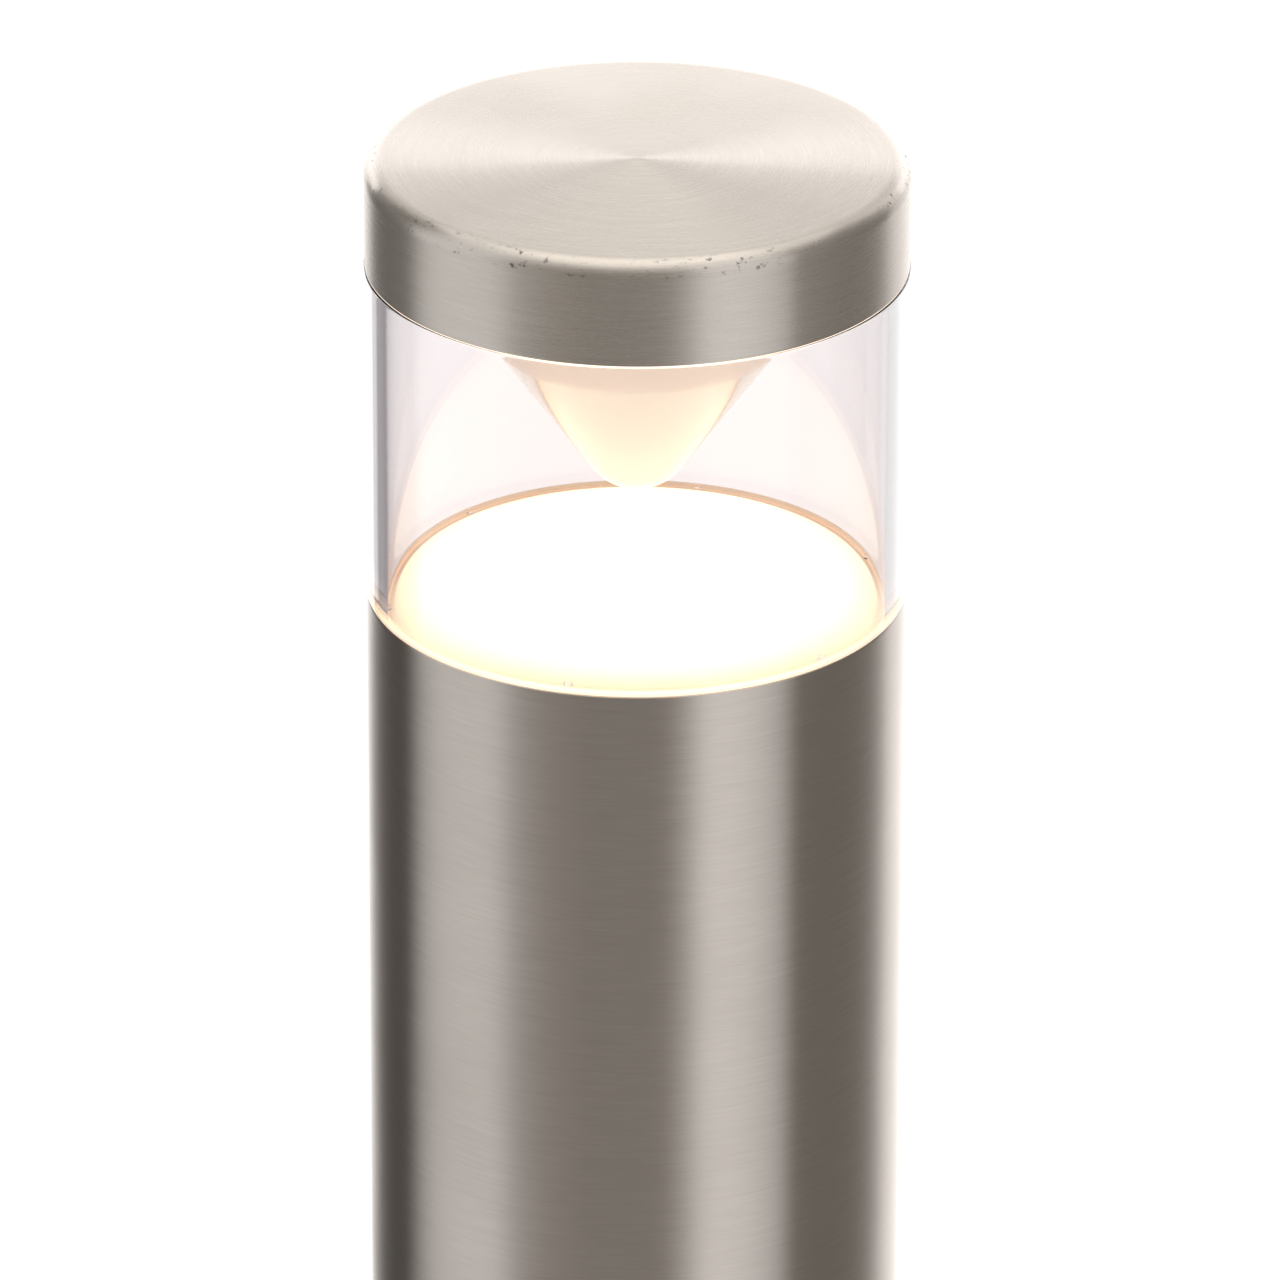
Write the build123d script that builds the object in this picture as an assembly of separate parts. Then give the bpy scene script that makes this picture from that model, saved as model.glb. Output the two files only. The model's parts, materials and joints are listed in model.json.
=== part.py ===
"""Bollard garden light: a brushed stainless post on a bolted flange, with a clear light head.

Units are millimetres, +Z is up, and the origin is the centre of the footprint, at the ground.
The light shines up from an opal disc at the top of the post onto a white cone under the cap,
which throws it out through the clear tube. Three groups of pieces come apart from each other:
the base with its gear tray, the post with the light source, and the head.
"""

import os
from math import atan2, cos, radians, sin, sqrt, tan

from build123d import *

# ---------------------------------------------------------------- driving dimensions
HEIGHT = 450.0  # ground to the top of the cap
POST_R = 38.05  # 76.1 mm stainless tube
POST_WALL = 1.5
CAP_H = 15.4
LENS_H = 49.5  # clear height between post and cap
PLUG_IN = 0.3  # radial room where one tube slides into another
FLANGE_R = 62.5
BOLT_CIRCLE_R = 52.0
BOLT_HOLE_R = 4.5
BOLT_ANGLE = 45.0
CABLE_R = 5.0  # hole for the supply cable
EDGE_BREAK = 0.3  # small chamfer or round on a cut edge
OVER = 1.0  # how far a cutting shape runs past the face that it cuts

# ---------------------------------------------------------------- screws
M3_R = 1.5
M3_HEAD_R = 2.75
M3_HEAD_H = 1.8
M3_KEY_R = 1.0
M4_R = 2.0
M4_HEAD_R = 3.6
M4_HEAD_H = 2.4
M4_KEY_R = 1.3
M5_R = 2.5
M5_HEAD_R = 4.75
M5_HEAD_H = 2.7
M5_KEY_R = 1.7
SCREW_SLIP = 0.02  # radial room between a thread and its hole
SCREW_ROOM = 0.2  # radial room in a clearance hole
HEAD_ROUNDING = 0.45  # share of the head's height
KEY_DEPTH = 0.6  # share of a pan head's height
SUNK_KEY_DEPTH = 0.8  # share of a countersunk head's height
ARC_SHARE = 0.45  # share of the shorter run that a lead's arc takes

# ---------------------------------------------------------------- levels, from the ground up
GASKET_T = 2.0
FLANGE_T = 4.0
FLANGE_TOP = GASKET_T + FLANGE_T
SPIGOT_TOP = FLANGE_TOP + 40.0
CLAMP_Z = FLANGE_TOP + 16.0  # height of the three clamp screws
CAP_TOP = HEIGHT
CAP_BOTTOM = CAP_TOP - CAP_H
POST_TOP = CAP_BOTTOM - LENS_H
POST_IN_R = POST_R - POST_WALL

# ---------------------------------------------------------------- head
CAP_T = 1.2
CAP_ROUND = 2.5  # outer edge of the cap
LENS_R = POST_R + 0.1
LENS_IN_R = POST_R - 2.9
LENS_SEAM = 0.15  # shadow gap between the clear tube and each steel edge
LENS_CHAMFER = 0.3
LENS_FOOT_R = POST_IN_R - PLUG_IN  # where the tube plugs into the post
LENS_FOOT = POST_TOP - 8.0
LENS_NECK_R = POST_R - CAP_T - PLUG_IN  # where the tube plugs into the cap
ADHESIVE_T = 0.5
ADHESIVE_R = 32.0
ADHESIVE_IN_R = 14.0
CARRIER_T = 2.2
CARRIER_R = POST_R - CAP_T - CAP_ROUND / 2
UPPER_GASKET_T = 0.8
UPPER_GASKET_R = 36.2
LENS_WEB_T = 3.0
LENS_WEB_IN_R = 23.0
CARRIER_TOP = CAP_TOP - CAP_T - ADHESIVE_T
CARRIER_BOTTOM = CARRIER_TOP - CARRIER_T
LENS_TOP = CARRIER_BOTTOM - UPPER_GASKET_T
WEB_BOTTOM = LENS_TOP - LENS_WEB_T
CONE_SLOPE = 0.715  # radius gained per unit of height
CONE_APEX = POST_TOP + 10.1  # where the flanks would meet
CONE_TIP_R = 8.0
CONE_WALL = 1.2
CONE_R = 33.2
CONE_BOSS_R = 3.0
HEAD_SCREW_CIRCLE = 28.0
HEAD_SCREW_LENGTH = 10.0

# ---------------------------------------------------------------- light source
LENS_GASKET_T = 1.5
SEAT = LENS_FOOT - LENS_GASKET_T
HOUSING_TOP = SEAT - 2.5
HOUSING_T = 7.0
FIN_H = 20.0
FIN_T = 1.6
FIN_COUNT = 16
FIN_END_R = 33.5
HUB_R = 8.0
LEAD_R = 2.3
LEAD_GROMMET_R = LEAD_R + 1.2
LEAD_GROMMET_LIP_R = LEAD_R + 2.6
LEAD_GROMMET_LIP_T = 1.5
LEAD_END = 1.0  # the lead's jacket stops this far under the housing's top
CORE_R = 0.6
CORE_PITCH = 2.8
CORE_RISE = 1.8  # height of the cores above the board
CORE_REACH = 5.6
PAD_T = 0.5
BOARD_T = 1.6
BOARD_R = 33.0
BOARD_HOLE_R = 4.0
PAD_HOLE_R = 5.0
CHIP_SIZE = (3.5, 2.8, 0.8)
CHIP_RINGS = ((21.5, 12, 15.0), (12.5, 6, 0.0))  # circle radius, count, first angle
BOARD_BOTTOM = HOUSING_TOP + PAD_T
BOARD_TOP = BOARD_BOTTOM + BOARD_T
TRAY_R = LENS_IN_R - PLUG_IN
TRAY_IN_R = 25.0
TRAY_MOUTH_R = 32.0
TRAY_MOUTH_H = 3.0  # straight part of the mouth, which the disc plugs into
TRAY_FLOOR_T = 1.5
TRAY_BOSS_T = 2.0
GRIP_Z = POST_TOP - 4.0  # ring that grips the foot of the clear tube
GRIP_SECTION_R = 0.8
GRIP_R = LENS_IN_R - 0.1 - GRIP_SECTION_R
DISC_TOP = POST_TOP + 0.3
DISC_T = 2.0
DISC_R = LENS_IN_R - PLUG_IN / 2
DISC_RIM_R = TRAY_MOUTH_R - 0.1  # rim under the disc, inside the tray's mouth
DISC_RIM_T = 1.2
DISC_RIM_H = 2.5
TRAY_TOP = DISC_TOP - DISC_T
LUG_COUNT = 6  # small lugs inside the clear tube that keep the disc down
LUG_ANGLE = 15.0
LUG_R = 0.6
LUG_H = 0.5
LUG_GAP = 0.1
SOURCE_SCREW_CIRCLE = 28.0
SOURCE_SCREW_ANGLE = 45.0
SOURCE_SCREW_LENGTH = 9.0

# ---------------------------------------------------------------- base and gear tray
SPIGOT_R = POST_IN_R - PLUG_IN
SPIGOT_IN_R = 32.0
CLAMP_ANGLES = (90.0, 210.0, 330.0)
CLAMP_LENGTH = 13.0
CLAMP_SLOT_ROOM = 0.5
SPIGOT_LEAD_IN = 1.2
NUT_W = 9.0
NUT_T = 2.7
NUT_FACE = sqrt((SPIGOT_IN_R - PLUG_IN) ** 2 - (NUT_W / 2) ** 2)  # its corners just clear the collar
GROMMET_R = 8.5
GROMMET_LIP_R = 10.8
GROMMET_TOP_LIP_T = 2.5
GROMMET_LOW_LIP_T = 1.5
MAT_IN_R = 20.0
PLATE_T = 1.5
PLATE_Y = 12.0  # middle of the upright plate
PLATE_W = 44.0
PLATE_TOP = 232.0
PLATE_FRONT = PLATE_Y - PLATE_T / 2
PLATE_CORNER_R = 6.0
FOOT_W = 32.0
FOOT_END = 26.0
FOOT_SCREWS_X = (-10.0, 10.0)
FOOT_SCREW_Y = 21.0
SADDLE_Z = 32.0
SADDLE_SIZE = (27.0, 10.0)  # width and height
SADDLE_T = 1.4
BLOCK_Z = 48.0
BLOCK_SIZE = (30.0, 15.0, 20.0)
BLOCK_Y = PLATE_FRONT - BLOCK_SIZE[1] / 2
BLOCK_SINK = 2.5  # depth of the fixing screws' counterbores
POLE_PITCH = 9.0
POLES = (-POLE_PITCH, 0.0, POLE_PITCH)
SLEEVE_R = 2.6
SLEEVE_IN_R = 1.6
SLEEVE_END = 1.0  # the sleeves stop this far inside the block's ends
GRUB_R = 1.25
GRUB_H = 4.2
GRUB_LEVELS = (BLOCK_Z + 5.0, BLOCK_Z + BLOCK_SIZE[2] - 5.0)
DRIVER_Z = 92.0
DRIVER_SIZE = (40.0, 23.0, 104.0)
DRIVER_SHELL = 1.6
DRIVER_ROUND = 2.0
DRIVER_TRAY_D = 9.0
DRIVER_TOP = DRIVER_Z + DRIVER_SIZE[2]
DRIVER_FRONT = PLATE_FRONT - DRIVER_SIZE[1]
DRIVER_SPLIT = PLATE_FRONT - DRIVER_TRAY_D
DRIVER_ROOM_W = DRIVER_SIZE[0] - 2 * DRIVER_SHELL
DRIVER_ROOM_H = DRIVER_SIZE[2] - 2 * DRIVER_SHELL
DRIVER_EAR = (12.0, 2.5, 8.0)
DRIVER_BOARD_T = 1.6
DRIVER_BOARD_FRONT = DRIVER_SPLIT + 3.2
DRIVER_BOARD_BACK = DRIVER_BOARD_FRONT + DRIVER_BOARD_T
DRIVER_BOARD_GAP = 4.0  # room above and below the driver's board
STANDOFF_R = 2.4
STANDOFF_X = 14.0
STANDOFF_INSET = 9.0  # from the room's ends
WIRE_R = 1.1
WIRE_ROOM = 0.15
DRIVER_WIRES_X = (-6.0, 6.0)
SOCKET_BOTTOM = PLATE_TOP - 8.0
SOCKET_H = 24.0
SOCKET_R = 8.0
JOINT_Z = SOCKET_BOTTOM + SOCKET_H  # where plug and socket meet
PLUG_H = 18.0
PLUG_R = SOCKET_R - 0.5
PLUG_GAP = 0.3
PLUG_SPIGOT_R = 5.0
PLUG_SPIGOT_H = 11.0
PLUG_RIBS = 12
PIN_R = 0.8
PIN_LENGTH = 6.0
PINS_X = (-2.2, 2.2)
CLIP_H = 6.0
CLIP_T = 1.5
CLIP_W = 32.0
EARTH_AT = (24.0, -3.0)
EARTH_BARREL_Y = EARTH_AT[1] + 6.8
EARTH_STUD_H = 10.0
LUG_T = 0.8
LUG_EYE_R = 4.2
LUG_BARREL_H = 11.0

# holes in the upright plate, as (x, z)
SADDLE_HOLES = tuple((x, SADDLE_Z) for x in (-9.5, 9.5))
BLOCK_HOLES = tuple((x, BLOCK_Z + BLOCK_SIZE[2] / 2) for x in (-POLE_PITCH / 2, POLE_PITCH / 2))
DRIVER_HOLES = ((0.0, DRIVER_Z - 4.0), (0.0, DRIVER_TOP + 4.0))
CLIP_HOLES = tuple((x, SOCKET_BOTTOM + CLIP_H / 2) for x in (-13.0, 13.0))
PLATE_HOLES = SADDLE_HOLES + BLOCK_HOLES + DRIVER_HOLES + CLIP_HOLES


STANDING = (Align.CENTER, Align.CENTER, Align.MIN)


# ---------------------------------------------------------------- helpers
def rod(radius, low, high, x=0.0, y=0.0):
    """Upright cylinder between two heights."""
    return Pos(x, y, low) * Cylinder(radius, high - low, align=STANDING)


def ring(outer, inner, low, high):
    """Upright ring around the Z axis."""
    return rod(outer, low, high) - rod(inner, low, high)


def block(x_size, y_size, z_size, x=0.0, y=0.0, low=0.0):
    """Box that stands on the height low, centred on x and y."""
    return Pos(x, y, low) * Box(x_size, y_size, z_size, align=STANDING)


def lathe(points):
    """Solid of revolution around Z from (radius, height) corners."""
    outline = Polyline(*[(r, 0, z) for r, z in points], close=True)
    return revolve(make_face(outline), axis=Axis.Z)


def along_y(radius, length, x=0.0, y=0.0, z=0.0):
    """Cylinder that lies along Y, centred on a point."""
    return Pos(x, y, z) * Rot(90, 0, 0) * Cylinder(radius, length)


def along_x(radius, reach, z=0.0):
    """Cylinder from the axis out along +X."""
    return Pos(0, 0, z) * Rot(0, 90, 0) * Cylinder(radius, reach, align=STANDING)


def around(shape, angles):
    """Copies of a shape turned about Z by each angle."""
    return [Rot(0, 0, a) * shape for a in angles]


def every(count, start=0.0):
    """Evenly spaced angles over a full turn."""
    return [start + 360.0 * i / count for i in range(count)]


def group(shapes):
    """Separate solids that share one node."""
    return Compound(children=[s for shape in shapes for s in Part(shape.wrapped).solids()])


def top_edges(shape, radius, height):
    """Circular edges of a given radius and height."""
    found = shape.edges().filter_by(GeomType.CIRCLE)
    return found.filter_by(lambda e: abs(e.radius - radius) < 1e-3 and abs(e.center().Z - height) < 1e-3)


def pan_screw(radius, head_r, head_h, length, socket_r):
    """Screw along Z: head above zero with a hex socket, shank below."""
    head = rod(head_r, 0, head_h)
    head = fillet(top_edges(head, head_r, head_h), head_h * HEAD_ROUNDING)
    socket = Pos(0, 0, head_h * (1 - KEY_DEPTH)) * extrude(RegularPolygon(socket_r, 6), head_h)
    return head + rod(radius, -length, 0) - socket


def sunk_screw(radius, head_r, length, socket_r):
    """Countersunk screw along Z: its flat top is at zero."""
    head_h = head_r - radius
    head = Pos(0, 0, -head_h) * Cone(radius, head_r, head_h, align=STANDING)
    socket = Pos(0, 0, -head_h * SUNK_KEY_DEPTH) * extrude(RegularPolygon(socket_r, 6), head_h)
    return head + rod(radius, -length, -head_h) - socket


def lead(points, radius):
    """Round lead along straight runs joined by the largest arcs that fit."""
    spots = [Vector(*p) for p in points]
    runs = [b - a for a, b in zip(spots, spots[1:])]
    radii = []
    for before, after in zip(runs, runs[1:]):
        turn = radians(before.get_angle(after))
        radii.append(ARC_SHARE * min(before.length, after.length) / tan(turn / 2))
    path = FilletPolyline(*spots, radius=radii)
    start = Plane(origin=path @ 0, z_dir=path % 0)
    tube = sweep(start * Circle(radius), path=path)
    print("lead radii", [round(r, 1) for r in radii], "length", round(path.length, 1))
    return tube


# ---------------------------------------------------------------- head
def cone_body(apex, tip_r, top_r):
    """Downward cone with a round tip, up to the height where it reaches top_r."""
    half = atan2(CONE_SLOPE, 1.0)
    centre = apex + tip_r / sin(half)
    join_r = tip_r * cos(half)
    join_z = centre - tip_r * sin(half)
    top_z = apex + top_r / CONE_SLOPE
    flank = Pos(0, 0, join_z) * Cone(join_r, top_r, top_z - join_z, align=STANDING)
    return flank + Pos(0, 0, centre) * Sphere(tip_r), top_z


def top_cap():
    inner_r = POST_R - CAP_T
    low = CAP_BOTTOM + LENS_SEAM
    outer = rod(POST_R, low, CAP_TOP)
    outer = fillet(top_edges(outer, POST_R, CAP_TOP), CAP_ROUND)
    inner = rod(inner_r, low, CAP_TOP - CAP_T)
    inner = fillet(top_edges(inner, inner_r, CAP_TOP - CAP_T), CAP_ROUND - CAP_T)
    return outer - inner


def cap_adhesive():
    return ring(ADHESIVE_R, ADHESIVE_IN_R, CARRIER_TOP, CARRIER_TOP + ADHESIVE_T)


def cap_carrier():
    """Plate glued under the cap, with three countersunk holes."""
    disc = rod(CARRIER_R, CARRIER_BOTTOM, CARRIER_TOP)
    sink_h = M3_HEAD_R - M3_R
    sink = Cone(M3_R + SCREW_SLIP, M3_HEAD_R + SCREW_SLIP, sink_h, align=STANDING)
    sunk = rod(M3_R + SCREW_SLIP, CARRIER_BOTTOM, CARRIER_TOP, HEAD_SCREW_CIRCLE)
    sunk += Pos(HEAD_SCREW_CIRCLE, 0, CARRIER_TOP - sink_h) * sink
    for hole in around(sunk, every(3)):
        disc -= hole
    return disc


def cap_screws():
    screw = sunk_screw(M3_R, M3_HEAD_R, HEAD_SCREW_LENGTH, M3_KEY_R)
    return group(around(Pos(HEAD_SCREW_CIRCLE, 0, CARRIER_TOP) * screw, every(3)))


def upper_gasket():
    seal = ring(UPPER_GASKET_R, LENS_WEB_IN_R, LENS_TOP, CARRIER_BOTTOM)
    hole = rod(M3_R + SCREW_ROOM, LENS_TOP, CARRIER_BOTTOM, HEAD_SCREW_CIRCLE)
    for cut in around(hole, every(3)):
        seal -= cut
    return seal


def lens_tube():
    """Clear tube: its foot plugs into the post, its neck into the cap, and a web takes the screws."""
    low = POST_TOP + LENS_SEAM
    tube = lathe(
        [
            (LENS_FOOT_R, LENS_FOOT),
            (LENS_FOOT_R, low),
            (LENS_R - LENS_CHAMFER, low),
            (LENS_R, low + LENS_CHAMFER),
            (LENS_R, CAP_BOTTOM - LENS_CHAMFER),
            (LENS_R - LENS_CHAMFER, CAP_BOTTOM),
            (LENS_NECK_R, CAP_BOTTOM),
            (LENS_NECK_R, LENS_TOP),
            (LENS_WEB_IN_R, LENS_TOP),
            (LENS_WEB_IN_R, WEB_BOTTOM),
            (LENS_IN_R, WEB_BOTTOM),
            (LENS_IN_R, LENS_FOOT),
        ]
    )
    hole = rod(M3_R + SCREW_ROOM, WEB_BOTTOM, LENS_TOP, HEAD_SCREW_CIRCLE)
    for cut in around(hole, every(3)):
        tube -= cut
    lug_low = DISC_TOP + LUG_GAP
    for lug in around(rod(LUG_R, lug_low, lug_low + LUG_H, LENS_IN_R), every(LUG_COUNT, LUG_ANGLE)):
        tube += lug
    return tube


def reflector_cone():
    """Thin cone, point down, with an upright rim and three screw bosses inside."""
    half = atan2(CONE_SLOPE, 1.0)
    outside, rim_z = cone_body(CONE_APEX, CONE_TIP_R, CONE_R)
    inside, _ = cone_body(CONE_APEX + CONE_WALL / sin(half), CONE_TIP_R - CONE_WALL, CONE_R + OVER)
    shell = outside - inside + ring(CONE_R, CONE_R - CONE_WALL, rim_z, WEB_BOTTOM)
    boss = rod(CONE_BOSS_R, CONE_APEX, WEB_BOTTOM, HEAD_SCREW_CIRCLE)
    for piece in around(boss, every(3)):
        shell += piece & (outside + rod(CONE_R, rim_z, WEB_BOTTOM))
    screw_end = CARRIER_TOP - HEAD_SCREW_LENGTH - OVER
    thread = rod(M3_R + SCREW_SLIP, screw_end, WEB_BOTTOM, HEAD_SCREW_CIRCLE)
    for hole in around(thread, every(3)):
        shell -= hole
    return shell


# ---------------------------------------------------------------- post and light source
def post_tube():
    tube = ring(POST_R, POST_IN_R, FLANGE_TOP, POST_TOP)
    tube = fillet(top_edges(tube, POST_R, POST_TOP), EDGE_BREAK)
    tube = chamfer(top_edges(tube, POST_R, FLANGE_TOP), EDGE_BREAK)
    for cut in around(along_x(M5_R + SCREW_ROOM, POST_R + OVER, CLAMP_Z), CLAMP_ANGLES):
        tube -= cut
    return tube


def clamp_screws():
    """Button screws through the post wall. They ride in the open slots of the spigot."""
    screw = Rot(0, 90, 0) * pan_screw(M5_R, M5_HEAD_R, M5_HEAD_H, CLAMP_LENGTH, M5_KEY_R)
    seated = Pos(POST_R + SCREW_SLIP, 0, CLAMP_Z) * screw
    return group(around(seated, CLAMP_ANGLES))


def clamp_nuts():
    """Square nuts that draw the post against the spigot from inside."""
    nut = Pos(NUT_FACE - NUT_T / 2, 0, CLAMP_Z) * Box(NUT_T, NUT_W, NUT_W)
    nut -= along_x(M5_R + SCREW_SLIP, POST_R, CLAMP_Z)
    return group(around(nut, CLAMP_ANGLES))


def led_housing():
    """Cast heat sink: a plate bonded into the post, a seat for the lens seal, and fins below."""
    plate_low = HOUSING_TOP - HOUSING_T
    body = rod(POST_IN_R, plate_low, HOUSING_TOP)
    body += ring(POST_IN_R, TRAY_R + PLUG_IN / 3, HOUSING_TOP, SEAT)
    fin_in = HUB_R - OVER
    fin = block(FIN_END_R - fin_in, FIN_T, FIN_H, x=(FIN_END_R + fin_in) / 2, low=plate_low - FIN_H)
    for piece in around(fin, every(FIN_COUNT)):
        body += piece
    body += rod(HUB_R, plate_low - FIN_H, plate_low)
    body -= rod(LEAD_GROMMET_R, plate_low - FIN_H, HOUSING_TOP)
    hole = rod(M3_R + SCREW_SLIP, plate_low, HOUSING_TOP, SOURCE_SCREW_CIRCLE)
    for cut in around(hole, every(3, SOURCE_SCREW_ANGLE)):
        body -= cut
    return body


def lead_grommet():
    low = HOUSING_TOP - HOUSING_T - FIN_H
    sleeve = ring(LEAD_GROMMET_R, LEAD_R, low, HOUSING_TOP)
    return sleeve + ring(LEAD_GROMMET_LIP_R, LEAD_R, low - LEAD_GROMMET_LIP_T, low)


def lens_gasket():
    return ring(LENS_FOOT_R, LENS_IN_R, SEAT, LENS_FOOT)


def drilled(disc, low, high, centre_r, hole_r):
    """A disc with a centre hole and the three screw holes of the light source."""
    disc -= rod(centre_r, low, high)
    for cut in around(rod(hole_r, low, high, SOURCE_SCREW_CIRCLE), every(3, SOURCE_SCREW_ANGLE)):
        disc -= cut
    return disc


def thermal_pad():
    pad = rod(BOARD_R, HOUSING_TOP, BOARD_BOTTOM)
    return drilled(pad, HOUSING_TOP, BOARD_BOTTOM, PAD_HOLE_R, M3_R + SCREW_ROOM)


def led_board():
    board = rod(BOARD_R, BOARD_BOTTOM, BOARD_TOP)
    return drilled(board, BOARD_BOTTOM, BOARD_TOP, BOARD_HOLE_R, M3_R + SCREW_ROOM)


def led_chips():
    chip = fillet(block(*CHIP_SIZE, low=BOARD_TOP).edges().filter_by(Axis.Z), EDGE_BREAK)
    chips = []
    for circle, count, start in CHIP_RINGS:
        chips += around(Pos(circle, 0, 0) * chip, every(count, start))
    return group(chips)


def board_connector():
    """Push-in connector on the board, with an entry for each core."""
    body = block(6.0, 4.5, 3.6, y=-6.6, low=BOARD_TOP)
    for x in (-CORE_PITCH / 2, CORE_PITCH / 2):
        body -= block(1.8, 3.0, 2.2, x=x, y=-5.4, low=BOARD_TOP + 0.7)
    return body


def led_tray():
    """White cup between board and disc. The disc's rim plugs into its mouth."""
    cup = lathe(
        [
            (TRAY_IN_R, BOARD_TOP),
            (TRAY_R, BOARD_TOP),
            (TRAY_R, TRAY_TOP),
            (TRAY_MOUTH_R, TRAY_TOP),
            (TRAY_MOUTH_R, TRAY_TOP - TRAY_MOUTH_H),
            (TRAY_IN_R, BOARD_TOP + TRAY_FLOOR_T),
        ]
    )
    groove_in_r = GRIP_R - GRIP_SECTION_R
    cup -= ring(TRAY_R + OVER, groove_in_r, GRIP_Z - GRIP_SECTION_R, GRIP_Z + GRIP_SECTION_R)
    well = rod(M3_R + SCREW_ROOM, BOARD_TOP, TRAY_TOP, SOURCE_SCREW_CIRCLE)
    well += rod(M3_HEAD_R + SCREW_ROOM, BOARD_TOP + TRAY_BOSS_T, TRAY_TOP, SOURCE_SCREW_CIRCLE)
    for cut in around(well, every(3, SOURCE_SCREW_ANGLE)):
        cup -= cut
    return cup


def grip_ring():
    """Rubber ring in the groove of the tray. It seals and holds the pushed-on head."""
    return Pos(0, 0, GRIP_Z) * Torus(GRIP_R, GRIP_SECTION_R)


def tray_screws():
    screw = pan_screw(M3_R, M3_HEAD_R, M3_HEAD_H, SOURCE_SCREW_LENGTH, M3_KEY_R)
    seated = Pos(SOURCE_SCREW_CIRCLE, 0, BOARD_TOP + TRAY_BOSS_T) * screw
    return group(around(seated, every(3, SOURCE_SCREW_ANGLE)))


def diffuser_disc():
    """Opal disc over the tray, with a rim that plugs into it."""
    disc = rod(DISC_R, TRAY_TOP, DISC_TOP)
    disc = fillet(top_edges(disc, DISC_R, DISC_TOP), EDGE_BREAK)
    return disc + ring(DISC_RIM_R, DISC_RIM_R - DISC_RIM_T, TRAY_TOP - DISC_RIM_H, TRAY_TOP)


def led_lead():
    """Jacketed lead from the plug to the housing, with a little spare length."""
    top = HOUSING_TOP - LEAD_END
    low = JOINT_Z + PLUG_H
    return lead([(0, 0, low), (0, 0, low + 12), (6, -5, low + 34), (0, 0, low + 56), (0, 0, top)], LEAD_R)


def led_cores():
    """Two cores from the end of the lead, through the board and into its connector."""
    cores = []
    for x in (-CORE_PITCH / 2, CORE_PITCH / 2):
        level = BOARD_TOP + CORE_RISE
        path = [(x, 0, HOUSING_TOP - LEAD_END), (x, 0, level), (x, -CORE_REACH, level)]
        cores.append(lead(path, CORE_R))
    return group(cores)


def lead_plug():
    """Ribbed plug on the post's lead. Its spigot enters the socket."""
    shoulder = JOINT_Z + PLUG_GAP
    body = rod(PLUG_R, shoulder, JOINT_Z + PLUG_H)
    body = fillet(top_edges(body, PLUG_R, JOINT_Z + PLUG_H), 3.0)
    groove = rod(0.6, JOINT_Z + 3.0, JOINT_Z + 12.0, PLUG_R + 0.1)
    for cut in around(groove, every(PLUG_RIBS)):
        body -= cut
    return body + rod(PLUG_SPIGOT_R, JOINT_Z - PLUG_SPIGOT_H, shoulder)


def plug_pins():
    top = JOINT_Z - PLUG_SPIGOT_H
    return group([rod(PIN_R, top - PIN_LENGTH, top, x) for x in PINS_X])


# ---------------------------------------------------------------- base and gear tray
def base_gasket():
    seal = ring(FLANGE_R - 1.0, MAT_IN_R, 0, GASKET_T)
    for hole in around(rod(BOLT_HOLE_R, 0, GASKET_T, BOLT_CIRCLE_R), every(4, BOLT_ANGLE)):
        seal -= hole
    return seal


def base_flange():
    plate = rod(FLANGE_R, GASKET_T, FLANGE_TOP)
    plate = fillet(top_edges(plate, FLANGE_R, FLANGE_TOP), 0.8)
    plate -= rod(GROMMET_R, GASKET_T, FLANGE_TOP)
    for hole in around(rod(BOLT_HOLE_R, GASKET_T, FLANGE_TOP, BOLT_CIRCLE_R), every(4, BOLT_ANGLE)):
        plate -= hole
    for x in FOOT_SCREWS_X:
        plate -= rod(M4_R + SCREW_SLIP, GASKET_T, FLANGE_TOP, x, FOOT_SCREW_Y)
    return plate


def spigot_ring():
    """Collar on the flange. The post drops over it and its screws enter the open slots."""
    collar = ring(SPIGOT_R, SPIGOT_IN_R, FLANGE_TOP, SPIGOT_TOP)
    collar = chamfer(top_edges(collar, SPIGOT_R, SPIGOT_TOP), SPIGOT_LEAD_IN)
    half = M5_R + CLAMP_SLOT_ROOM
    reach = SPIGOT_R + OVER
    slot = along_x(half, reach, CLAMP_Z)
    slot += block(reach, 2 * half, SPIGOT_TOP - CLAMP_Z + OVER, x=reach / 2, low=CLAMP_Z)
    for cut in around(slot, CLAMP_ANGLES):
        collar -= cut
    return collar


def cable_grommet():
    body = ring(GROMMET_R, CABLE_R, GASKET_T, FLANGE_TOP)
    body += ring(GROMMET_LIP_R, CABLE_R, GASKET_T - GROMMET_LOW_LIP_T, GASKET_T)
    top = FLANGE_TOP + GROMMET_TOP_LIP_T
    lip = ring(GROMMET_LIP_R, CABLE_R, FLANGE_TOP, top)
    return body + fillet(top_edges(lip, GROMMET_LIP_R, top), GROMMET_TOP_LIP_T / 2)


def gear_bracket():
    """Upright plate on a foot. It carries the terminals, the driver and the lead socket."""
    plate = block(PLATE_W, PLATE_T, PLATE_TOP - FLANGE_TOP, y=PLATE_Y, low=FLANGE_TOP)
    corners = [e for e in plate.edges().filter_by(Axis.Y) if e.center().Z > PLATE_TOP - OVER]
    plate = fillet(corners, PLATE_CORNER_R)
    foot = block(FOOT_W, FOOT_END - PLATE_Y, PLATE_T, y=(FOOT_END + PLATE_Y) / 2, low=FLANGE_TOP)
    for x in FOOT_SCREWS_X:
        foot -= rod(M4_R + SCREW_ROOM, FLANGE_TOP, FLANGE_TOP + PLATE_T, x, FOOT_SCREW_Y)
    shape = plate + foot
    for x, z in PLATE_HOLES:
        shape -= along_y(M3_R + SCREW_SLIP, 2 * PLATE_T, x, PLATE_Y, z)
    return shape


def front_screws(holes, face_y, length):
    """Pan screws driven into the plate from its front."""
    screw = Rot(90, 0, 0) * pan_screw(M3_R, M3_HEAD_R, M3_HEAD_H, length, M3_KEY_R)
    return group([Pos(x, face_y, z) * screw for x, z in holes])


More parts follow.
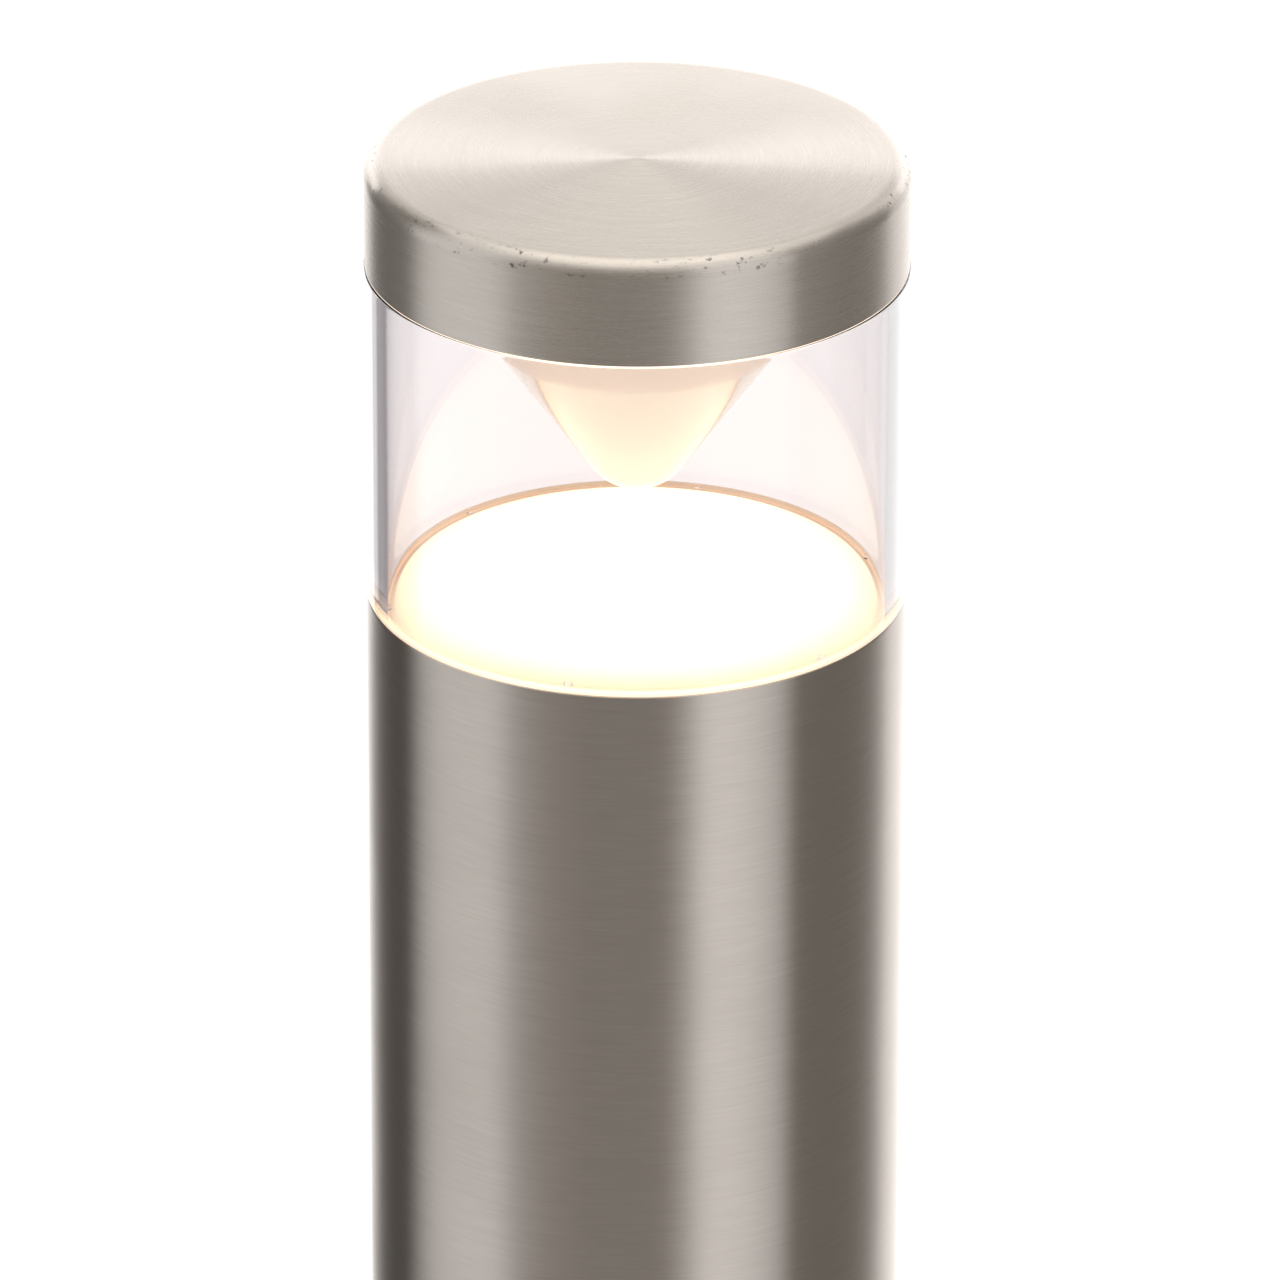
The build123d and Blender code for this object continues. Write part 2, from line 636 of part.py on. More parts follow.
def bracket_screws():
    screw = pan_screw(M4_R, M4_HEAD_R, M4_HEAD_H, PLATE_T + FLANGE_T - 0.5, M4_KEY_R)
    return group([Pos(x, FOOT_SCREW_Y, FLANGE_TOP + PLATE_T) * screw for x in FOOT_SCREWS_X])


def cable_saddle():
    """Arched strap that grips the supply cable against the plate."""
    wide, high = SADDLE_SIZE
    centre_y = PLATE_FRONT - CABLE_R
    middle_y = (centre_y + PLATE_FRONT) / 2
    feet = Pos(0, PLATE_FRONT - SADDLE_T / 2, SADDLE_Z) * Box(wide, SADDLE_T, high)
    arch = Pos(0, centre_y, SADDLE_Z) * Cylinder(CABLE_R + SADDLE_T, high)
    arch += Pos(0, middle_y, SADDLE_Z) * Box(2 * (CABLE_R + SADDLE_T), CABLE_R, high)
    room = Pos(0, centre_y, SADDLE_Z) * Cylinder(CABLE_R, high + OVER)
    room += Pos(0, middle_y, SADDLE_Z) * Box(2 * CABLE_R, CABLE_R, high + OVER)
    behind = Pos(0, PLATE_FRONT + CABLE_R, SADDLE_Z) * Box(wide, 2 * CABLE_R, high + OVER)
    strap = feet + arch - room - behind
    for x, z in SADDLE_HOLES:
        strap -= along_y(M3_R + SCREW_ROOM, 2 * CABLE_R, x, PLATE_FRONT, z)
    return strap


def saddle_screws():
    return front_screws(SADDLE_HOLES, PLATE_FRONT - SADDLE_T, SADDLE_T + PLATE_T + OVER)


def terminal_block():
    """Three-pole block with a clamping tower for each end of each pole."""
    body = fillet(block(*BLOCK_SIZE, y=BLOCK_Y, low=BLOCK_Z).edges().filter_by(Axis.Z), 1.2)
    low = BLOCK_Z - OVER
    high = BLOCK_Z + BLOCK_SIZE[2] + OVER
    front_y = BLOCK_Y - BLOCK_SIZE[1] / 2
    for x in POLES:
        body -= rod(SLEEVE_R + SCREW_SLIP, low, high, x, BLOCK_Y)
        for z in GRUB_LEVELS:
            body -= along_y(GRUB_R + 3 * SCREW_ROOM, BLOCK_SIZE[1], x, front_y, z)
    for x, z in BLOCK_HOLES:
        body -= along_y(M3_R + SCREW_ROOM, BLOCK_SIZE[1] + OVER, x, BLOCK_Y, z)
        sink = 2 * (BLOCK_SIZE[1] / 2 - BLOCK_SINK)
        body -= along_y(M3_HEAD_R + SCREW_ROOM, sink, x, front_y, z)
    return body


def terminal_sleeves():
    """Brass sleeves in the block, one a pole."""
    low = BLOCK_Z + SLEEVE_END
    high = BLOCK_Z + BLOCK_SIZE[2] - SLEEVE_END
    sleeves = []
    for x in POLES:
        sleeve = rod(SLEEVE_R, low, high, x, BLOCK_Y) - rod(SLEEVE_IN_R, low, high, x, BLOCK_Y)
        for z in GRUB_LEVELS:
            sleeve -= along_y(GRUB_R + SCREW_SLIP, 2 * SLEEVE_R, x, BLOCK_Y - SLEEVE_R, z)
        sleeves.append(sleeve)
    return group(sleeves)


def terminal_screws():
    """Slotted grub screws that bear on the wires in the sleeves."""
    slot = Pos(0, 0, GRUB_H / 2) * Box(2 * GRUB_R + OVER, 0.5, 1.6)
    grub = Rot(90, 0, 0) * (Cylinder(GRUB_R, GRUB_H) - slot)
    y = BLOCK_Y - SLEEVE_IN_R - GRUB_H / 2 - SCREW_ROOM
    return group([Pos(x, y, z) * grub for x in POLES for z in GRUB_LEVELS])


def block_screws():
    face = BLOCK_Y - BLOCK_SINK
    return front_screws(BLOCK_HOLES, face, PLATE_FRONT - face + PLATE_T)


def driver_entries():
    """Holes through both halves of the driver case for the wires and the output lead."""
    low, high = DRIVER_Z - OVER, DRIVER_Z + DRIVER_SHELL + OVER
    holes = rod(LEAD_R, DRIVER_TOP - DRIVER_SHELL - OVER, DRIVER_TOP + OVER, 0, DRIVER_SPLIT)
    for x in DRIVER_WIRES_X:
        holes += rod(WIRE_R + WIRE_ROOM, low, high, x, DRIVER_SPLIT)
    return holes


def driver_room(depth, y):
    """The space inside one half of the driver case."""
    return block(DRIVER_ROOM_W, depth, DRIVER_ROOM_H, y=y, low=DRIVER_Z + DRIVER_SHELL)


def driver_tray():
    """Rear half of the driver case, with a fixing ear at each end and four posts for the board."""
    wide, _, tall = DRIVER_SIZE
    depth = DRIVER_TRAY_D - DRIVER_SHELL
    body = block(wide, DRIVER_TRAY_D, tall, y=PLATE_FRONT - DRIVER_TRAY_D / 2, low=DRIVER_Z)
    body -= driver_room(depth, DRIVER_SPLIT + depth / 2)
    for x, z in DRIVER_HOLES:
        ear = block(*DRIVER_EAR, y=PLATE_FRONT - DRIVER_EAR[1] / 2, low=z - DRIVER_EAR[2] / 2)
        body += ear - along_y(M3_R + SCREW_ROOM, 4 * DRIVER_EAR[1], x, PLATE_FRONT, z)
    floor_y = PLATE_FRONT - DRIVER_SHELL
    middle_y = (DRIVER_BOARD_BACK + floor_y) / 2
    for x in (-STANDOFF_X, STANDOFF_X):
        for z in (DRIVER_Z + STANDOFF_INSET, DRIVER_TOP - STANDOFF_INSET):
            body += along_y(STANDOFF_R, floor_y - DRIVER_BOARD_BACK, x, middle_y, z)
    return body - driver_entries()


def driver_cover():
    """Front half of the driver case."""
    wide, deep, tall = DRIVER_SIZE
    depth = deep - DRIVER_TRAY_D
    body = block(wide, depth, tall, y=DRIVER_SPLIT - depth / 2, low=DRIVER_Z)
    front = [e for e in body.edges() if e.center().Y < DRIVER_FRONT + SCREW_SLIP]
    body = fillet(front, DRIVER_ROUND)
    room = depth - DRIVER_SHELL
    return body - driver_room(room, DRIVER_SPLIT - room / 2) - driver_entries()


def driver_board():
    low = DRIVER_Z + DRIVER_SHELL + DRIVER_BOARD_GAP
    tall = DRIVER_ROOM_H - 2 * DRIVER_BOARD_GAP
    middle_y = (DRIVER_BOARD_FRONT + DRIVER_BOARD_BACK) / 2
    return block(DRIVER_ROOM_W - 1.0, DRIVER_BOARD_T, tall, y=middle_y, low=low)


def driver_components():
    """Transformer, choke and three capacitors on the driver's board."""
    boxes = [  # width, depth, height, x, height above the case's foot
        (17.0, 13.0, 19.0, -4.0, 44.0),
        (10.0, 9.0, 9.0, 10.0, 17.0),
    ]
    shapes = []
    for wide, deep, tall, x, z in boxes:
        shapes.append(block(wide, deep, tall, x=x, y=DRIVER_BOARD_FRONT - deep / 2, low=DRIVER_Z + z))
    can_r, can_h = 5.0, 12.0
    for x, z in ((-9.0, 24.0), (11.0, 72.0), (-1.0, 84.0)):
        shapes.append(along_y(can_r, can_h, x, DRIVER_BOARD_FRONT - can_h / 2, DRIVER_Z + z))
    return group(shapes)


def driver_screws():
    return front_screws(DRIVER_HOLES, PLATE_FRONT - DRIVER_EAR[1], DRIVER_EAR[1] + PLATE_T + OVER)


def output_lead():
    return rod(LEAD_R, DRIVER_TOP - DRIVER_SHELL - 2 * OVER, SOCKET_BOTTOM, 0, DRIVER_SPLIT)


def lead_socket():
    """Socket half of the connector, held at the top of the plate by a clip."""
    body = rod(SOCKET_R, SOCKET_BOTTOM, JOINT_Z)
    floor_z = JOINT_Z - PLUG_SPIGOT_H - OVER
    body -= rod(PLUG_SPIGOT_R + PLUG_GAP, floor_z, JOINT_Z)
    for x in PINS_X:
        body -= rod(PIN_R + 2 * SCREW_ROOM, floor_z - PIN_LENGTH - OVER, JOINT_Z, x)
    return body


def socket_clip():
    """Strap that holds the socket in front of the plate."""
    low = SOCKET_BOTTOM
    strap = ring(SOCKET_R + CLIP_T, SOCKET_R, low, low + CLIP_H)
    strap += block(CLIP_W, CLIP_T, CLIP_H, y=PLATE_FRONT - CLIP_T / 2, low=low)
    strap += block(2 * SOCKET_R, PLATE_FRONT, CLIP_H, y=PLATE_FRONT / 2, low=low)
    for x, z in CLIP_HOLES:
        strap -= along_y(M3_R + SCREW_ROOM, 4 * CLIP_T, x, PLATE_FRONT, z)
    return strap - rod(SOCKET_R, low, low + CLIP_H)


def clip_screws():
    return front_screws(CLIP_HOLES, PLATE_FRONT - CLIP_T, CLIP_T + PLATE_T + OVER)


def mains_wire(pole_x, driver_x):
    """Wire from a terminal up into the driver."""
    block_top = BLOCK_Z + BLOCK_SIZE[2]
    path = [
        (pole_x, BLOCK_Y, block_top - 4),
        (pole_x, BLOCK_Y, block_top + 5),
        (driver_x, DRIVER_SPLIT, DRIVER_Z - 6),
        (driver_x, DRIVER_SPLIT, DRIVER_Z + 5),
    ]
    return lead(path, WIRE_R)


def live_wire():
    return mains_wire(POLES[0], DRIVER_WIRES_X[0])


def neutral_wire():
    return mains_wire(POLES[1], DRIVER_WIRES_X[1])


def earth_wire():
    """Wire from the third terminal over and down into the lug on the flange."""
    start = BLOCK_Z + BLOCK_SIZE[2] - 4
    x = EARTH_AT[0]
    path = [
        (POLES[2], BLOCK_Y, start),
        (POLES[2], BLOCK_Y, start + 10),
        (x - 7, BLOCK_Y, start + 18),
        (x, EARTH_BARREL_Y, start + 8),
        (x, EARTH_BARREL_Y, FLANGE_TOP + 3),
    ]
    return lead(path, WIRE_R)


def earth_stud():
    return rod(M4_R, FLANGE_TOP, FLANGE_TOP + EARTH_STUD_H, *EARTH_AT)


def earth_lug():
    """Crimp lug: an eye on the stud and an upright barrel for the wire."""
    x, y = EARTH_AT
    low, high = FLANGE_TOP, FLANGE_TOP + LUG_T
    barrel_r = WIRE_R + LUG_T
    eye = rod(LUG_EYE_R, low, high, x, y)
    tongue = block(2 * barrel_r, EARTH_BARREL_Y - y, LUG_T, x=x, y=(EARTH_BARREL_Y + y) / 2, low=low)
    barrel = rod(barrel_r, low, low + LUG_BARREL_H, x, EARTH_BARREL_Y)
    bore = rod(WIRE_R, low + 3.0, low + LUG_BARREL_H, x, EARTH_BARREL_Y)
    return eye + tongue + barrel - bore - rod(M4_R + SCREW_SLIP, low, high, x, y)


def earth_nut():
    """Washer and nut that hold the lug."""
    washer = rod(4.5, 0, LUG_T) - rod(M4_R + SCREW_SLIP, 0, LUG_T)
    nut = extrude(RegularPolygon(4.0, 6), 3.2) - rod(M4_R + SCREW_SLIP, 0, 4)
    x, y = EARTH_AT
    return group([Pos(x, y, FLANGE_TOP + LUG_T) * washer, Pos(x, y, FLANGE_TOP + 2 * LUG_T) * nut])


PARTS = [
    top_cap, cap_adhesive, cap_carrier, cap_screws, upper_gasket, lens_tube, reflector_cone,
    post_tube, clamp_screws, clamp_nuts, led_housing, lead_grommet, lens_gasket, thermal_pad,
    led_board, led_chips, board_connector, led_tray, grip_ring, tray_screws, diffuser_disc,
    led_lead, led_cores, lead_plug, plug_pins,
    base_gasket, base_flange, spigot_ring, cable_grommet, gear_bracket, bracket_screws,
    cable_saddle, saddle_screws, terminal_block, terminal_sleeves, terminal_screws, block_screws,
    driver_tray, driver_cover, driver_board, driver_components, driver_screws, output_lead,
    lead_socket, socket_clip, clip_screws, live_wire, neutral_wire, earth_wire, earth_stud,
    earth_lug, earth_nut,
]


def main():
    os.makedirs("parts", exist_ok=True)
    for make in PARTS:
        export_step(make(), f"parts/{make.__name__}.step")


main()
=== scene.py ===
"""Bollard light: looks, floor, light and camera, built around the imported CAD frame. Metres."""

import json
import math

import bmesh
import bpy
from mathutils import Matrix, Vector

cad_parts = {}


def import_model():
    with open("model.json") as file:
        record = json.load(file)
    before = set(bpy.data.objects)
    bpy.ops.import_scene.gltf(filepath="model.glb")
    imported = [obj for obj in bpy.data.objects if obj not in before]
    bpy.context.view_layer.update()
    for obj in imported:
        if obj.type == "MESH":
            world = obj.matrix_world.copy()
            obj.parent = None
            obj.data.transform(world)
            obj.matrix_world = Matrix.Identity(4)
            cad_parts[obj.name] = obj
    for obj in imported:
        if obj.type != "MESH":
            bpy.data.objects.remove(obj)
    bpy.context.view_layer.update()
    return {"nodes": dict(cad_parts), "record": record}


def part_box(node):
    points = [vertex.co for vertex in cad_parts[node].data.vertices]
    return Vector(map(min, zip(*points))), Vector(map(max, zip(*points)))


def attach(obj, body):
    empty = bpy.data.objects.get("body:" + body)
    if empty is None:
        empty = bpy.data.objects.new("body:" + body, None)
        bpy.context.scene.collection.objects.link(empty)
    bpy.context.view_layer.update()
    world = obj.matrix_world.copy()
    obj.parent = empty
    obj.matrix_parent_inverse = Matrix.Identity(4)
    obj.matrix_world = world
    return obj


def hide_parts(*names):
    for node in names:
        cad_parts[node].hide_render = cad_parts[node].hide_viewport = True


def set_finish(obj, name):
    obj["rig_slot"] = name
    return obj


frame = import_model()

MM = 0.001
TURN = 2 * math.pi

# ---------------------------------------------------------------- sizes, from the frame
CAP_LOW, CAP_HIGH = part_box("top_cap")
LENS_LOW, LENS_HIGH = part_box("lens_tube")
CONE_LOW, CONE_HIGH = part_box("reflector_cone")
TRAY_LOW, TRAY_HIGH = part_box("led_tray")
DISC_LOW, DISC_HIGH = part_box("diffuser_disc")
POST_LOW, POST_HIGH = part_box("post_tube")
PLATE_LOW, PLATE_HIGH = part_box("base_flange")
MAT_LOW, MAT_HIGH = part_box("base_gasket")
GRIP_LOW, GRIP_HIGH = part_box("grip_ring")
SCREW_LOW, SCREW_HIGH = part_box("clamp_screws")

POST_R = POST_HIGH.x
RIM = POST_HIGH.z
CAP_R = CAP_HIGH.x
LENS_R = LENS_HIGH.x

POST_WALL = 1.5 * MM
CAP_WALL = 1.2 * MM
CAP_ROUND = 2.5 * MM
LENS_WALL = 3.0 * MM
LENS_FOOT_GAP = 0.3 * MM
LENS_WEB = 3.0 * MM
LENS_WEB_HOLE = 23.0 * MM
CONE_WALL = 1.2 * MM
CONE_TIP = 8.0 * MM
CONE_SLOPE = 0.715  # radius gained per height
CONE_BOSS = 3.0 * MM
HEAD_SCREW_CIRCLE = 28.0 * MM
HEAD_SCREW_ANGLES = (0, 120, 240)
HEAD_SCREW_HOLE = 1.7 * MM
LENS_SEAM = 0.05 * MM
LENS_EDGE = 0.3 * MM
LUG_ANGLES = (15, 75, 135, 195, 255, 315)
LUG_R = 0.6 * MM
LUG_LOW = DISC_HIGH.z + 0.1 * MM
LUG_HIGH = LUG_LOW + 0.5 * MM
TRAY_MOUTH = 32.0 * MM
TRAY_MOUTH_H = 3.0 * MM
TRAY_IN = 25.0 * MM
TRAY_FLOOR = 1.5 * MM
TRAY_BOSS = 2.0 * MM
TRAY_GROOVE = 1.1 * MM  # the groove is deeper by this than the grip ring stands out
TRAY_EDGE = 0.12 * MM
DISC_T = 2.0 * MM
DISC_RIM_T = 1.2 * MM
DISC_RIM_ROOM = 0.1 * MM
DISC_EDGE = 0.3 * MM
SOURCE_SCREW_CIRCLE = 28.0 * MM
SOURCE_SCREW_ANGLES = (45, 165, 285)
SOURCE_SCREW_HOLE = 1.7 * MM
SOURCE_HEAD_HOLE = 2.95 * MM
CLAMP_ANGLES = (90, 210, 330)
CLAMP_HOLE = 2.7 * MM
CLAMP_CUT = 8.0 * MM
CLAMP_BAND = 7.0 * MM  # height kept free of long faces above and below the holes
BOLT_ANGLES = (45, 135, 225, 315)
FOOT_SCREWS = ((-10.0 * MM, 21.0 * MM), (10.0 * MM, 21.0 * MM))
FOOT_SCREW_HOLE = 2.02 * MM
BOLT_CIRCLE = 52.0 * MM
BOLT_HOLE = 4.5 * MM
PLATE_EDGE = 0.7 * MM
MAT_HOLE = 20.0 * MM
MAT_EDGE = 0.3 * MM
CABLE_HOLE = 8.5 * MM
EDGE = 0.15 * MM  # broken edge on turned and cut pieces
POST_EDGE = 0.3 * MM
SHARP = 50.0  # edges bent by more degrees than this stay sharp
ON_AXIS = 1e-6  # a point nearer to the axis than this lies on it
SIDE_SHARE = 0.45  # a round takes up at most this share of a side

# ---------------------------------------------------------------- looks
GRAIN_ALONG = 110.0  # how fast the brushed grain changes along its grooves
GRAIN_FINE = 9000.0  # and across them, for two sizes of groove
GRAIN_COARSE = 1700.0
CAP_LEAN = 0.06
CAP_HAZE = 0.4
CAP_GRAIN = 0.0024  # millimetres
FOOT_TINT = (0.80, 0.60, 0.42)
NECK_TINT = (0.80, 0.66, 0.62)
FROST_MARGIN = 0.07 * MM
FROST_FADE = 0.02 * MM
FOOT_PAINTED_GLOW = (0.95, 0.37)  # painted glow of the frosted ends, in front and behind
FOOT_PAINTED_RISE = (RIM - 3 * MM, RIM - MM)  # heights over which the painted glow of the foot comes up
DISC_GLOW = 1.9
DISC_EDGE_GLOW = 0.55
# Painted shade: a dull tan ring at the disc's back and sides, standing in for the disc's light in the
# clear wall
DISC_PAINTED_RIM_GLOW = 0.3
DISC_PAINTED_RIM_BAND = (DISC_HIGH.x - 0.95 * MM, DISC_HIGH.x - 0.75 * MM)  # radii where the painted tan rim starts
PAINTED_TAN_FADE = (-14.0 * MM, 4.0 * MM)  # the painted tan shows behind this stretch, on the disc's rim and in the foot's painted glow
GLOW_SHIFT = 3.0 * MM  # the bright middle sits a little behind the axis
SATIN_FROM = RIM + 38.7 * MM  # the cone is satin above this height
SATIN_FADE = 0.9 * MM


# ---------------------------------------------------------------- mesh tools
def arc(centre_r, centre_z, radius, start, end, steps=8):
    """Points of an arc in the (radius, height) plane, angles in degrees."""
    points = []
    for i in range(steps + 1):
        a = math.radians(start + (end - start) * i / steps)
        points.append((centre_r + radius * math.cos(a), centre_z + radius * math.sin(a)))
    return points


def soften(corners, radius, steps=4):
    """Rounds every corner of a closed (radius, height) outline, away from the axis."""
    points = []
    count = len(corners)
    for i, here in enumerate(corners):
        before = Vector(corners[i - 1])
        after = Vector(corners[(i + 1) % count])
        spot = Vector(here)
        to_before = before - spot
        to_after = after - spot
        if spot.x < ON_AXIS:
            points.append(tuple(spot))
            continue
        size = min(radius, SIDE_SHARE * to_before.length, SIDE_SHARE * to_after.length)
        first = spot + to_before.normalized() * size
        last = spot + to_after.normalized() * size
        for k in range(steps + 1):
            t = k / steps
            mixed = first * (1 - t) ** 2 + spot * 2 * t * (1 - t) + last * t ** 2
            points.append(tuple(mixed))
    return points


def support(points, gap=0.35 * MM):
    """Adds points close to both ends of every long straight run, so that it shades flat."""
    result = []
    count = len(points)
    for i, here in enumerate(points):
        spot = Vector(here)
        after = Vector(points[(i + 1) % count])
        result.append(tuple(spot))
        run = after - spot
        if run.length > 4 * gap:
            step = run.normalized() * gap
            result.append(tuple(spot + step))
            result.append(tuple(after - step))
    return result


def new_object(name, data):
    """Adds an object to the scene."""
    thing = bpy.data.objects.new(name, data)
    bpy.context.scene.collection.objects.link(thing)
    return thing


def mesh_object(name, bm):
    """Turns a bmesh into an object of the scene."""
    mesh = bpy.data.meshes.new(name)
    bm.to_mesh(mesh)
    bm.free()
    return new_object(name, mesh)


def finish_mesh(name, bm, body, replaced, slot_name):
    """Turns a bmesh into a shaded piece that stands for CAD nodes and rides on their body."""
    bmesh.ops.recalc_face_normals(bm, faces=bm.faces)
    piece = mesh_object(name, bm)
    shade(piece)
    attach(piece, body)
    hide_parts(*replaced)
    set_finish(piece, slot_name)
    return piece


def shade(piece):
    """Smooth shading that breaks at sharp edges."""
    for face in piece.data.polygons:
        face.use_smooth = True
    piece.data.set_sharp_from_angle(angle=math.radians(SHARP))


def spin(outline, segments=256):
    """Closed surface of revolution around Z from a closed (radius, height) outline."""
    bm = bmesh.new()
    columns = []
    poles = {}
    for k in range(segments):
        a = TURN * k / segments
        column = []
        for i, (r, z) in enumerate(outline):
            if r < ON_AXIS:
                if i not in poles:
                    poles[i] = bm.verts.new((0, 0, z))
                column.append(poles[i])
            else:
                column.append(bm.verts.new((r * math.cos(a), r * math.sin(a), z)))
        columns.append(column)
    count = len(outline)
    for k in range(segments):
        here, there = columns[k], columns[(k + 1) % segments]
        for i in range(count):
            j = (i + 1) % count
            corners = [here[i], there[i], there[j], here[j]]
            unique = list(dict.fromkeys(corners))
            if len(unique) > 2:
                bm.faces.new(unique)
    return bm


def cutter(shapes):
    """One mesh object out of several bmesh-building calls, for combine()."""
    bm = bmesh.new()
    for make in shapes:
        make(bm)
    return mesh_object("cutter", bm)


def combine(piece, shapes, operation="DIFFERENCE"):
    """Cuts closed shapes out of a piece, or joins them to it, and applies the result."""
    tool = cutter(shapes)
    change = piece.modifiers.new("combine", "BOOLEAN")
    change.operation = operation
    change.solver = "EXACT"
    change.object = tool
    bpy.context.view_layer.update()
    depsgraph = bpy.context.evaluated_depsgraph_get()
    done = bpy.data.meshes.new_from_object(piece.evaluated_get(depsgraph))
    piece.modifiers.clear()
    piece.data = done
    piece.data.name = piece.name
    bpy.data.objects.remove(tool)
    shade(piece)


def hole(x, y, low, high, radius, sides=64):
    """Upright cylinder, for combine()."""
    def make(bm):
        made = bmesh.ops.create_cone(
            bm, cap_ends=True, segments=sides, radius1=radius, radius2=radius, depth=high - low
        )
        bmesh.ops.translate(bm, verts=made["verts"], vec=(x, y, (low + high) / 2))
    return make


def on_circle(make, angle, distance, *rest):
    """Calls make at a place on a circle, with the angle in degrees."""
    a = math.radians(angle)
    return make(distance * math.cos(a), distance * math.sin(a), *rest)


def side_hole(angle, distance, z, radius, length, sides=48):
    """Cylinder lying along the radius at an angle in degrees, for combine()."""
    def make(bm):
        made = bmesh.ops.create_cone(
            bm, cap_ends=True, segments=sides, radius1=radius, radius2=radius, depth=length
        )
        verts = made["verts"]
        bmesh.ops.rotate(bm, verts=verts, matrix=turn_matrix("Y", 90))
        bmesh.ops.translate(bm, verts=verts, vec=(distance, 0, z))
        bmesh.ops.rotate(bm, verts=verts, matrix=turn_matrix("Z", angle))
    return make


def turn_matrix(axis, degrees):
    """Rotation about an axis through the origin."""
    return Matrix.Rotation(math.radians(degrees), 3, axis)


# ---------------------------------------------------------------- node tools
class Graph:
    """Short way to build a material's nodes."""

    def __init__(self, name):
        self.material = bpy.data.materials.new(name)
        self.material.use_nodes = True
        self.tree = self.material.node_tree
        self.tree.nodes.clear()
        self.out = self.tree.nodes.new("ShaderNodeOutputMaterial")

    def add(self, kind, **settings):
        """New node. Settings are its properties, or its sockets when the name is a socket's."""
        node = self.tree.nodes.new("ShaderNode" + kind)
        for key, value in settings.items():
            socket = node.inputs.get(key.replace("_", " "))
            if socket is not None:
                self.feed(socket, value)
            else:
                setattr(node, key, value)
        return node

    def feed(self, socket, value):
        """Links a socket to another one, or sets its value."""
        if isinstance(value, bpy.types.NodeSocket):
            self.tree.links.new(value, socket)
        else:
            socket.default_value = value

    def math(self, operation, a, b=0.0, c=0.0):
        node = self.add("Math", operation=operation)
        for socket, value in zip(node.inputs, (a, b, c)):
            self.feed(socket, value)
        return node.outputs[0]

    def vector(self, x, y, z):
        return self.add("CombineXYZ", X=x, Y=y, Z=z).outputs[0]

    def place(self):
        """The point in the object's own space, split into x, y, z."""
        coords = self.add("TexCoord").outputs["Object"]
        split = self.add("SeparateXYZ", Vector=coords)
        return coords, split.outputs[0], split.outputs[1], split.outputs[2]

    def radius(self, x, y):
        """Distance from the axis."""
        squares = (self.math("MULTIPLY", part, part) for part in (x, y))
        return self.math("SQRT", self.math("ADD", *squares))

    def noise(self, vector, scale, detail=3.0, roughness=0.5):
        node = self.add("TexNoise", Vector=vector, Scale=scale, Detail=detail, Roughness=roughness)
        return node.outputs["Fac"]

    def span(self, value, low, high, to_low, to_high):
        """Maps a value from one range to another, clamped."""
        node = self.add("MapRange")
        names = ("Value", "From Min", "From Max", "To Min", "To Max")
        for name, number in zip(names, (value, low, high, to_low, to_high)):
            self.feed(node.inputs[name], number)
        return node.outputs[0]

    def blend(self, factor, first, second):
        """Mix of two colours."""
        node = self.add("Mix", data_type="RGBA")
        self.feed(node.inputs[0], factor)
        self.feed(node.inputs[6], first)
        self.feed(node.inputs[7], second)
        return node.outputs[2]

    def bump(self, height, distance, strength=1.0):
        return self.add("Bump", Height=height, Distance=distance, Strength=strength).outputs[0]

    def finish(self, shader):
        self.tree.links.new(shader, self.out.inputs["Surface"])
        return self.material


def principled(graph, **sockets):
    """Principled shader with the given sockets set or linked."""
    node = graph.add("BsdfPrincipled")
    for key, value in sockets.items():
        graph.feed(node.inputs[key.replace("_", " ")], value)
    return node


def rgb(r, g, b):
    return (r, g, b, 1.0)


# ---------------------------------------------------------------- materials
def brushed_steel(name, rough, dark, light, lean=0.0, nicks=None, haze=0.0, depth=0.004):
    """Stainless brushed round the axis: grooves run round the tube and in rings on flat faces.

    lean tilts the grooves of a flat face outwards. nicks is a (low, high) pair of heights where
    the edge shows small dark marks. haze is the share of light scattered widely. depth is the
    grooves' depth in millimetres.
    """
    g = Graph(name)
    coords, x, y, z = g.place()
    radius = g.radius(x, y)
    across = g.math("ADD", radius, z)  # grows across the grooves on walls and on flat faces alike
    along_x = g.math("MULTIPLY", x, GRAIN_ALONG)
    along_y = g.math("MULTIPLY", y, GRAIN_ALONG)
    fine = g.noise(g.vector(along_x, along_y, g.math("MULTIPLY", across, GRAIN_FINE)), 1.0, 4.0, 0.65)
    coarse = g.noise(g.vector(along_x, along_y, g.math("MULTIPLY", across, GRAIN_COARSE)), 1.0, 3.0, 0.6)
    cloud = g.noise(coords, 42.0, 4.0, 0.6)
    grain = g.math("ADD", g.math("MULTIPLY", fine, 0.65), g.math("MULTIPLY", coarse, 0.35))
    tone = g.blend(g.span(grain, 0.32, 0.68, 0.0, 1.0), rgb(*dark), rgb(*light))
    smudge = g.span(cloud, 0.35, 0.7, 0.0, 1.0)
    tone = g.blend(g.math("MULTIPLY", smudge, 0.18), tone, rgb(*(c * 0.93 for c in dark)))
    if nicks:
        tone = g.blend(edge_marks(g, coords, z, *nicks), tone, rgb(0.10, 0.085, 0.075))
    uneven = g.span(grain, 0.3, 0.7, rough - 0.03, rough + 0.03)
    uneven = g.math("ADD", uneven, g.math("MULTIPLY", smudge, 0.03))
    height = g.math("ADD", g.math("MULTIPLY", grain, depth * MM), g.math("MULTIPLY", radius, -lean))
    shader = principled(
        g,
        Base_Color=tone,
        Metallic=1.0,
        Roughness=uneven,
        Anisotropic=1.0,
        Anisotropic_Rotation=0.25,
        Tangent=g.add("Tangent", direction_type="RADIAL", axis="Z").outputs[0],
        Normal=g.bump(height, 1.0),
    )
    if not haze:
        return g.finish(shader.outputs[0])
    wide = principled(g, Base_Color=tone, Metallic=1.0, Roughness=0.5)
    both = g.add("MixShader", Fac=haze)
    g.feed(both.inputs[1], shader.outputs[0])
    g.feed(both.inputs[2], wide.outputs[0])
    return g.finish(both.outputs[0])


